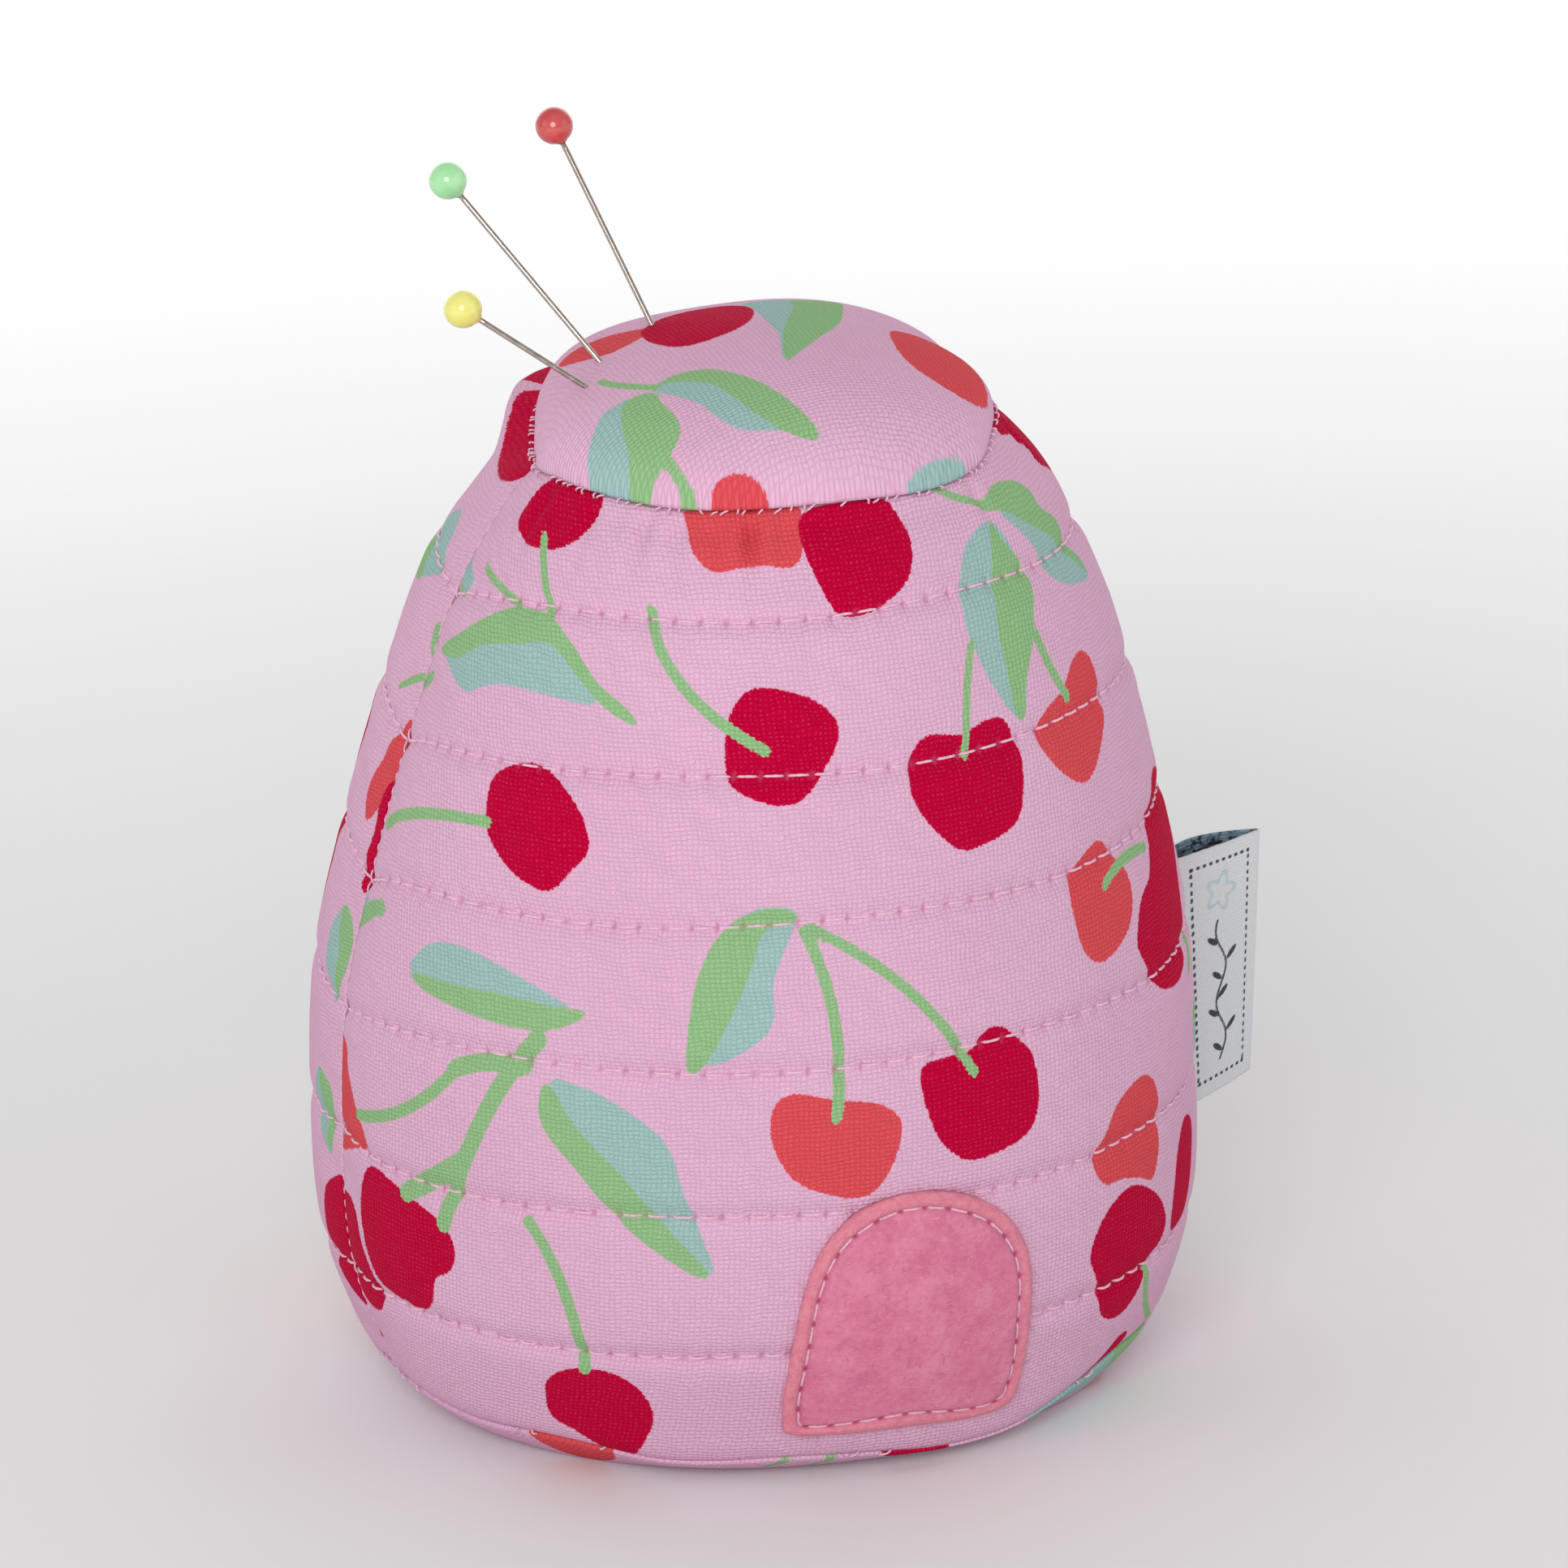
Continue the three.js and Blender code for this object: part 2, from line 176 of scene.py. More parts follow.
def body_point(angle, height, inset=0.0):
    """Point of the smooth body; angle runs from the door round towards the label's side."""
    radius = body_radius(height)
    crease = np.exp(-seam_angle(angle) * radius / SEAM_REACH)
    high_up = np.clip((height - BASE_SEAM_HEIGHT) / (TOP_SEAM_HEIGHT - BASE_SEAM_HEIGHT), 0, 1)
    radius = radius - inset - (0.9 + 0.8 * high_up**2) * MM * crease
    collar = collar_share(angle, height)
    radius = radius + wandering(COLLAR_BULGE, angle) * np.sin(math.pi * collar)
    radius = radius - wandering(TOP_SEAM_PULL, angle) * collar**4
    low_down = np.clip((height - BASE_SEAM_HEIGHT) / (SIDE_TRIM_TOP - BASE_SEAM_HEIGHT), 0, 1)
    radius = radius - wandering(SIDE_TRIM, angle) * np.sin(math.pi * low_down)
    x = radius * np.sin(angle) + LEAN[0] * height
    y = -radius * np.cos(angle) + LEAN[1] * height
    return np.stack([x, y, height * np.ones_like(x)], axis=-1)


# ---- meshes ---------------------------------------------------------------------------------

PLY_DEPTH = 0.14  # how far a tube's two plies swell its section, as a share of its radius
THREAD_TWIST = 1.9  # radians that the plies turn from one section of a thread to the next


def new_object(name, points, faces, smooth=True):
    mesh = bpy.data.meshes.new(name)
    mesh.from_pydata([tuple(p) for p in points], [], faces)
    mesh.validate()
    mesh.update()
    if smooth:
        mesh.polygons.foreach_set("use_smooth", [True] * len(mesh.polygons))
    thing = bpy.data.objects.new(name, mesh)
    bpy.context.scene.collection.objects.link(thing)
    return thing


def grid_faces(rows, columns, wrap=False):
    """Four-cornered faces of a grid of points listed row by row; wrap joins the last column."""
    faces = []
    for r in range(rows - 1):
        for c in range(columns if wrap else columns - 1):
            after = (c + 1) % columns
            low = r * columns
            high = low + columns
            faces.append((low + c, low + after, high + after, high + c))
    return faces


def capped_faces(rows, columns):
    """Faces of a closed tube, with a face over each end."""
    last = (rows - 1) * columns
    ends = [tuple(reversed(range(columns))), tuple(range(last, last + columns))]
    return grid_faces(rows, columns, wrap=True) + ends


def add_values(thing, name, values):
    layer = thing.data.attributes.new(name, "FLOAT", "POINT")
    layer.data.foreach_set("value", np.asarray(values, float).ravel())


def add_cloth_map(thing, across, up):
    """A UV map in millimetres of cloth, for the weave."""
    layer = thing.data.uv_layers.new(name="cloth")
    corners = np.empty(len(thing.data.loops), dtype=np.int64)
    thing.data.loops.foreach_get("vertex_index", corners)
    flat = np.stack([across.ravel(), up.ravel()], axis=1) / MM
    layer.data.foreach_set("uv", flat[corners].ravel())


def tube(path, radius, sides=6, twist=0.0):
    """Points and faces of a closed tube along a path, with both ends shut."""
    path = np.asarray(path, float)
    along = np.gradient(path, axis=0)
    along /= np.linalg.norm(along, axis=1, keepdims=True)
    up = np.cross(along[0], [0.31, 0.17, 0.93])
    up /= np.linalg.norm(up)
    points = []
    for i, (middle, ahead) in enumerate(zip(path, along)):
        up = up - ahead * np.dot(up, ahead)
        up /= np.linalg.norm(up)
        side = np.cross(ahead, up)
        for k in range(sides):
            turn = 2 * math.pi * k / sides
            ply = radius * (1 + PLY_DEPTH * math.cos(2 * turn + twist * i))
            points.append(middle + ply * (math.cos(turn) * up + math.sin(turn) * side))
    return np.array(points), capped_faces(len(path), sides)


def joined(name, pieces):
    """One object from many (points, faces) pairs."""
    points = []
    faces = []
    start = 0
    for some_points, some_faces in pieces:
        points.append(some_points)
        faces.extend(tuple(start + v for v in face) for face in some_faces)
        start += len(some_points)
    return new_object(name, np.concatenate(points), faces)


def surface_normals(points):
    """Normals of a grid of points, for rows going up and columns going round."""
    across = np.gradient(points, axis=1)
    up = np.gradient(points, axis=0)
    normal = np.cross(across, up)
    return normal / np.maximum(np.linalg.norm(normal, axis=2, keepdims=True), 1e-12)


# ---- materials ------------------------------------------------------------------------------


class Nodes:
    """Short names for building one material."""

    def __init__(self, name):
        self.material = bpy.data.materials.new(name)
        self.material.use_nodes = True
        self.tree = self.material.node_tree
        self.shader = self.tree.nodes["Principled BSDF"]

    def add(self, kind, **settings):
        node = self.tree.nodes.new(kind)
        for key, value in settings.items():
            setattr(node, key, value)
        return node

    def join(self, source, target):
        self.tree.links.new(source, target)

    def put(self, socket, value):
        if isinstance(value, bpy.types.NodeSocket):
            self.join(value, socket)
        else:
            socket.default_value = value

    def math(self, operation, a, b=0.0):
        node = self.add("ShaderNodeMath", operation=operation)
        self.put(node.inputs[0], a)
        self.put(node.inputs[1], b)
        return node.outputs[0]

    def mix(self, share, a, b, blend_type="MIX"):
        node = self.add("ShaderNodeMix", data_type="RGBA", blend_type=blend_type)
        self.put(node.inputs["Factor"], share)
        self.put(node.inputs[6], a)
        self.put(node.inputs[7], b)
        return node.outputs[2]

    def spread(self, value, low, high, to_low=0.0, to_high=1.0, smooth=False):
        kind = "SMOOTHSTEP" if smooth else "LINEAR"
        node = self.add("ShaderNodeMapRange", interpolation_type=kind)
        for socket, number in zip(node.inputs[1:5], (low, high, to_low, to_high)):
            socket.default_value = number
        self.put(node.inputs[0], value)
        return node.outputs[0]

    def noise(self, where, scale, detail=2.0, roughness=0.5):
        node = self.add("ShaderNodeTexNoise")
        self.put(node.inputs["Vector"], where)
        node.inputs["Scale"].default_value = scale
        node.inputs["Detail"].default_value = detail
        node.inputs["Roughness"].default_value = roughness
        return node.outputs["Fac"]

    def attribute(self, name):
        return self.add("ShaderNodeAttribute", attribute_name=name).outputs["Fac"]

    def object_place(self):
        return self.add("ShaderNodeTexCoord").outputs["Object"]

    def bump(self, height, distance, strength=1.0, below=None):
        node = self.add("ShaderNodeBump")
        node.inputs["Strength"].default_value = strength
        node.inputs["Distance"].default_value = distance
        self.join(height, node.inputs["Height"])
        if below is not None:
            self.join(below, node.inputs["Normal"])
        return node.outputs["Normal"]

    def finish(self, colour, normal=None, **settings):
        self.put(self.shader.inputs["Base Color"], colour)
        if normal is not None:
            self.join(normal, self.shader.inputs["Normal"])
        for key, value in settings.items():
            self.put(self.shader.inputs[key.replace("_", " ")], value)
        return self.material


def linear(red, green, blue):
    """Display colour, 0 to 255, as the colour a shader wants."""
    values = [v / 255 for v in (red, green, blue)]
    return (*[v / 12.92 if v < 0.04 else ((v + 0.055) / 1.055) ** 2.4 for v in values], 1.0)


CRIMSON = linear(192, 0, 58)
CORAL = linear(219, 80, 88)
LEAF_GREEN = linear(148, 189, 136)
LEAF_BLUE = linear(160, 191, 188)
YARN_ACROSS = 0.56  # millimetres from one yarn to the next
YARN_UP = 0.46
HAIR_HEIGHT = 0.3 * MM  # of the loose fibre's bumps


def woven_height(nodes, pitch_across, pitch_up):
    """Plain weave from the cloth map: 0 between yarns, 1 on a crown; and the map itself."""
    cloth = nodes.add("ShaderNodeUVMap", uv_map="cloth").outputs[0]
    wander = nodes.noise(cloth, 0.35, 2.0)
    parts = nodes.add("ShaderNodeSeparateXYZ")
    nodes.join(cloth, parts.inputs[0])
    shift = nodes.math("MULTIPLY", nodes.math("SUBTRACT", wander, 0.5), 0.9)
    across = nodes.math("DIVIDE", nodes.math("ADD", parts.outputs[0], shift), pitch_across)
    up = nodes.math("DIVIDE", nodes.math("ADD", parts.outputs[1], shift), pitch_up)
    crowns = []
    for value in (across, up):
        offset = nodes.math("SUBTRACT", nodes.math("MULTIPLY", nodes.math("FRACT", value), 2.0), 1.0)
        crowns.append(nodes.math("SUBTRACT", 1.0, nodes.math("MULTIPLY", offset, offset)))
    cells = nodes.math("ADD", nodes.math("FLOOR", across), nodes.math("FLOOR", up))
    odd = nodes.math("FLOORED_MODULO", cells, 2.0)
    over_warp, over_weft = [nodes.spread(crown, 0, 1, 0.4, 1.0) for crown in crowns]
    weft = nodes.math("MULTIPLY", crowns[1], over_warp)
    warp = nodes.math("MULTIPLY", crowns[0], over_weft)
    even = nodes.math("SUBTRACT", 1.0, odd)
    height = nodes.math("ADD", nodes.math("MULTIPLY", weft, odd), nodes.math("MULTIPLY", warp, even))
    return height, cloth


def print_material():
    """Canvas-weave cotton printed with cherries, leaves and stems."""
    nodes = Nodes("printed_cotton")
    weave, cloth = woven_height(nodes, YARN_ACROSS, YARN_UP)
    jag = nodes.math("MULTIPLY", nodes.math("SUBTRACT", nodes.noise(cloth, 2.4, 3.0), 0.5), 0.4)
    weave_jag = nodes.math("MULTIPLY", nodes.math("SUBTRACT", weave, 0.5), 0.16)
    edge = nodes.math("ADD", jag, weave_jag)
    patchy = nodes.noise(cloth, 0.05, 3.0)
    colour = nodes.mix(patchy, linear(227, 183, 209), linear(220, 172, 200))
    layers = (("coral", CORAL), ("crimson", CRIMSON), ("blue", LEAF_BLUE), ("green", LEAF_GREEN))
    for name, ink in layers:
        depth = nodes.math("ADD", nodes.attribute(name), edge)
        mask = nodes.spread(depth, -0.06, 0.06, smooth=True)
        colour = nodes.mix(mask, colour, ink)
    valley = nodes.spread(weave, 0.0, 0.75, 0.0, 1.0)
    shaded = nodes.mix(0.26, colour, colour, "MULTIPLY")
    colour = nodes.mix(valley, shaded, colour)
    # pale specks where fuzz noise meets the yarn crowns: partly pale fibre, partly painted highlight on
    # the crowns
    speck = nodes.math("MULTIPLY", nodes.noise(cloth, 3.1, 2.0), weave)
    fibre_and_highlight_specks = nodes.spread(speck, 0.42, 0.62, 0.0, 1.0)
    fibre_and_highlight_tint = nodes.mix(0.035, colour, linear(255, 225, 240))
    colour = nodes.mix(fibre_and_highlight_specks, colour, fibre_and_highlight_tint)
    # darker pink at the needle holes: painted shade in the holes
    needle = nodes.spread(nodes.attribute("needle"), 0.3, 0.95, 0.0, 0.5, smooth=True)
    colour = nodes.mix(needle, colour, linear(186, 84, 132))
    normal = nodes.bump(weave, 0.16 * MM, 0.75)
    fuzz = nodes.noise(cloth, 5.5, 3.0, 0.7)
    normal = nodes.bump(fuzz, 0.06 * MM, 0.5, normal)
    rough = nodes.spread(weave, 0.0, 1.0, 0.96, 0.8)
    return nodes.finish(
        colour, normal, Roughness=rough, Sheen_Weight=0.01, Sheen_Roughness=0.5, Specular_IOR_Level=0.04
    )


def fibre_material(name, low, high, scale):
    """Loose or felted fibre: mottled colour with fine crossing hairs."""
    nodes = Nodes(name)
    place = nodes.object_place()
    warp = nodes.noise(place, scale * 0.25, 3.0, 0.6)
    stretch = nodes.add("ShaderNodeMapping")
    stretch.inputs["Scale"].default_value = (1.0, 0.45, 1.7)
    nodes.join(place, stretch.inputs["Vector"])
    hairs = nodes.noise(stretch.outputs[0], scale * 2.2, 5.0, 0.75)
    cloud = nodes.math("MULTIPLY", nodes.math("ADD", warp, hairs), 0.5)
    colour = nodes.mix(nodes.spread(cloud, 0.36, 0.64), low, high)
    normal = nodes.bump(hairs, HAIR_HEIGHT, 0.9)
    normal = nodes.bump(warp, 2 * HAIR_HEIGHT, 0.5, normal)
    roughness = nodes.spread(cloud, 0.3, 0.7, 0.9, 1.0)
    return nodes.finish(
        colour, normal, Roughness=roughness, Sheen_Weight=0.3, Sheen_Roughness=0.6
    )


def thread_material():
    """Twisted cotton thread, paler on its crowns."""
    nodes = Nodes("sewing_thread")
    place = nodes.object_place()
    ply = nodes.noise(place, 2600.0, 2.0)
    colour = nodes.mix(ply, linear(212, 152, 184), linear(240, 208, 220))
    normal = nodes.bump(nodes.noise(place, 5200.0, 2.0), 0.05 * MM, 0.8)
    rough = nodes.spread(ply, 0.3, 0.7, 0.55, 0.75)
    return nodes.finish(colour, normal, Roughness=rough, Sheen_Weight=0.1, Specular_IOR_Level=0.3)


def felt_material():
    """Pressed felt: mottled pink fibres, more coral along the cut edge."""
    nodes = Nodes("felt")
    place = nodes.object_place()
    cloud = nodes.noise(place, 260.0, 4.0, 0.65)
    grain = nodes.noise(place, 1500.0, 4.0, 0.8)
    stretch = nodes.add("ShaderNodeMapping")
    stretch.inputs["Rotation"].default_value = (0.3, 0.5, 0.8)
    stretch.inputs["Scale"].default_value = (0.35, 1.0, 1.0)
    nodes.join(place, stretch.inputs["Vector"])
    hairs = nodes.noise(stretch.outputs[0], 2400.0, 5.0, 0.8)
    mottle = nodes.math("ADD", nodes.math("MULTIPLY", cloud, 0.6), nodes.math("MULTIPLY", grain, 0.4))
    colour = nodes.mix(
        nodes.spread(mottle, 0.4, 0.6), linear(211, 112, 146), linear(226, 138, 164)
    )
    rim = nodes.mix(nodes.spread(grain, 0.35, 0.65), linear(216, 118, 142), linear(230, 146, 162))
    colour = nodes.mix(nodes.spread(nodes.attribute("edge"), 0.2, 0.8, smooth=True), colour, rim)
    pale = nodes.mix(0.35, colour, linear(250, 205, 215))
    colour = nodes.mix(nodes.spread(hairs, 0.56, 0.72), colour, pale)
    # darker at the door seam's needle holes: painted shade in the holes
    needle = nodes.spread(nodes.attribute("needle"), 0.2, 0.9, 0.0, 0.75, smooth=True)
    colour = nodes.mix(needle, colour, linear(160, 44, 84))
    normal = nodes.bump(hairs, 0.22 * MM, 0.8)
    normal = nodes.bump(cloud, 0.8 * MM, 0.35, normal)
    rough = nodes.spread(hairs, 0.3, 0.7, 0.9, 1.0)
    return nodes.finish(
        colour, normal, Roughness=rough, Sheen_Weight=0.08, Sheen_Roughness=0.6, Specular_IOR_Level=0.08
    )


def tape_material():
    """Woven label tape: pale face with a stitched-looking border, dark patterned reverse."""
    nodes = Nodes("label_tape")
    place = nodes.add("ShaderNodeUVMap", uv_map="cloth").outputs[0]
    parts = nodes.add("ShaderNodeSeparateXYZ")
    nodes.join(place, parts.inputs[0])
    ribs = nodes.math("SINE", nodes.math("MULTIPLY", parts.outputs[1], 16.0))
    grain = nodes.noise(place, 3.0, 3.0)
    face = nodes.mix(grain, linear(219, 221, 223), linear(201, 206, 209))
    ink = nodes.math("ADD", nodes.attribute("ink"), nodes.math("MULTIPLY", grain, 0.1))
    face = nodes.mix(nodes.spread(ink, 0.0, 0.12, smooth=True), face, linear(40, 42, 60))
    teal = nodes.spread(nodes.attribute("teal"), -0.05, 0.1, 0.0, 0.55, smooth=True)
    face = nodes.mix(teal, face, linear(150, 190, 196))
    blotch = nodes.noise(place, 0.9, 3.0, 0.6)
    reverse = nodes.mix(nodes.spread(blotch, 0.44, 0.56), linear(30, 34, 44), linear(120, 150, 162))
    colour = nodes.mix(nodes.attribute("reverse"), face, reverse)
    normal = nodes.bump(ribs, 0.03 * MM, 0.6)
    rough = nodes.spread(grain, 0.3, 0.7, 0.6, 0.8)
    return nodes.finish(colour, normal, Roughness=rough, Sheen_Weight=0.1)


def steel_material():
    """Polished pin steel with faint drawing lines."""
    nodes = Nodes("pin_steel")
    place = nodes.object_place()
    lines = nodes.noise(place, 1800.0, 2.0)
    colour = nodes.mix(lines, linear(146, 132, 124), linear(196, 186, 178))
    normal = nodes.bump(lines, 0.01 * MM, 0.4)
    rough = nodes.spread(lines, 0.3, 0.7, 0.16, 0.3)
    return nodes.finish(colour, normal, Roughness=rough, Metallic=1.0)


def bead_material(name, deep, light):
    """Glossy moulded plastic, a little uneven in colour."""
    nodes = Nodes(name)
    place = nodes.object_place()
    cloud = nodes.noise(place, 420.0, 2.0)
    colour = nodes.mix(nodes.spread(cloud, 0.3, 0.7), deep, light)
    normal = nodes.bump(cloud, 0.03 * MM, 0.4)
    rough = nodes.spread(cloud, 0.3, 0.7, 0.12, 0.2)
    return nodes.finish(colour, normal, Roughness=rough, Coat_Weight=0.5, Coat_Roughness=0.08)


PRINT = print_material()
THREAD = thread_material()
FELT = felt_material()
TAPE = tape_material()
STEEL = steel_material()
WADDING = fibre_material("wadding", linear(226, 222, 214), linear(246, 244, 238), 300.0)
STUFFING = fibre_material("fibre_stuffing", linear(232, 230, 226), linear(250, 250, 248), 240.0)
BEADS = {
    "red": bead_material("red_bead", linear(190, 58, 60), linear(206, 82, 80)),
    "green": bead_material("green_bead", linear(150, 214, 152), linear(174, 230, 172)),
    "yellow": bead_material("yellow_bead", linear(226, 218, 104), linear(238, 232, 136)),
}

# ---- the print ------------------------------------------------------------------------------
# Places and sizes are millimetres of cloth: across from the panel's middle, and up.


def blob(*outline):
    """Depth inside a smooth closed outline drawn through a few points."""
    corners = np.array(outline, float)
    before = np.roll(corners, 1, axis=0)
    after = np.roll(corners, -1, axis=0)
    beyond = np.roll(corners, -2, axis=0)
    line = []
    for t in (0, 0.25, 0.5, 0.75):
        line.append(
            0.5 * (2 * corners + (after - before) * t)
            + 0.5 * (2 * before - 5 * corners + 4 * after - beyond) * t**2
            + 0.5 * (3 * corners - before - 3 * after + beyond) * t**3
        )
    line = np.array(line).transpose(1, 0, 2).reshape(-1, 2)

    def depth(x, y):
        nearest = np.full(np.shape(x), 1e3)
        inside = np.zeros(np.shape(x), bool)
        for a, b in zip(line, np.roll(line, -1, axis=0)):
            span = b - a
            t = np.clip(((x - a[0]) * span[0] + (y - a[1]) * span[1]) / np.dot(span, span), 0, 1)
            nearest = np.minimum(nearest, np.hypot(x - a[0] - t * span[0], y - a[1] - t * span[1]))
            crossing = (a[1] > y) != (b[1] > y)
            if a[1] != b[1]:
                inside ^= crossing & (x < a[0] + span[0] * (y - a[1]) / span[1])
        return np.where(inside, nearest, -nearest)

    return depth


def cherry(across, up, wide, tall, turn=0.0):
    """A rounded, slightly square fruit with a shallow dip beside its stem."""
    shape = [(-0.12, 0.44), (0.2, 0.5), (0.45, 0.32), (0.5, -0.05), (0.36, -0.38), (0.08, -0.5),
             (-0.28, -0.44), (-0.48, -0.12), (-0.46, 0.25), (-0.3, 0.47)]
    return blob(*[placed(x * wide, y * tall, across, up, turn) for x, y in shape])


def placed(x, y, across, up, turn):
    """Where a motif's own point lands once the motif is turned, in degrees, and moved."""
    cos_turn = math.cos(math.radians(turn))
    sin_turn = math.sin(math.radians(turn))
    return (across + cos_turn * x - sin_turn * y, up + sin_turn * x + cos_turn * y)


def leaf(base, tip, wide, bend):
    """Depths inside a whole pointed leaf and inside its green half."""
    turn = math.degrees(math.atan2(tip[1] - base[1], tip[0] - base[0]))
    length = math.dist(base, tip)
    upper = [(0.2, 0.36), (0.45, 0.5), (0.75, 0.34)]
    lower = [(0.78, -0.26), (0.5, -0.48), (0.2, -0.38)]
    rib = [(0.75, 0.02), (0.5, 0.06), (0.25, -0.02)]

    def at(x, y):
        return placed(x * length, y * wide + bend * 4 * x * (1 - x), *base, turn)

    ends = [at(0, 0)], [at(1, 0)]
    whole = blob(*ends[0], *[at(*p) for p in upper], *ends[1], *[at(*p) for p in lower])
    green = blob(*ends[0], *[at(*p) for p in upper], *ends[1], *[at(*p) for p in rib])
    return whole, green


def stem(first, middle, last, wide):
    """Depth inside a stroke that bends through three points."""
    first, middle, last = [np.array(p, float) for p in (first, middle, last)]
    control = 2 * middle - (first + last) / 2
    steps = np.linspace(0, 1, 13)[:, None]
    line = (1 - steps) ** 2 * first + 2 * steps * (1 - steps) * control + steps**2 * last

    def depth(x, y):
        nearest = np.full(np.shape(x), 1e3)
        for a, b in zip(line[:-1], line[1:]):
            span = b - a
            t = np.clip(((x - a[0]) * span[0] + (y - a[1]) * span[1]) / np.dot(span, span), 0, 1)
            nearest = np.minimum(nearest, np.hypot(x - a[0] - t * span[0], y - a[1] - t * span[1]))
        return wide / 2 - nearest

    return depth


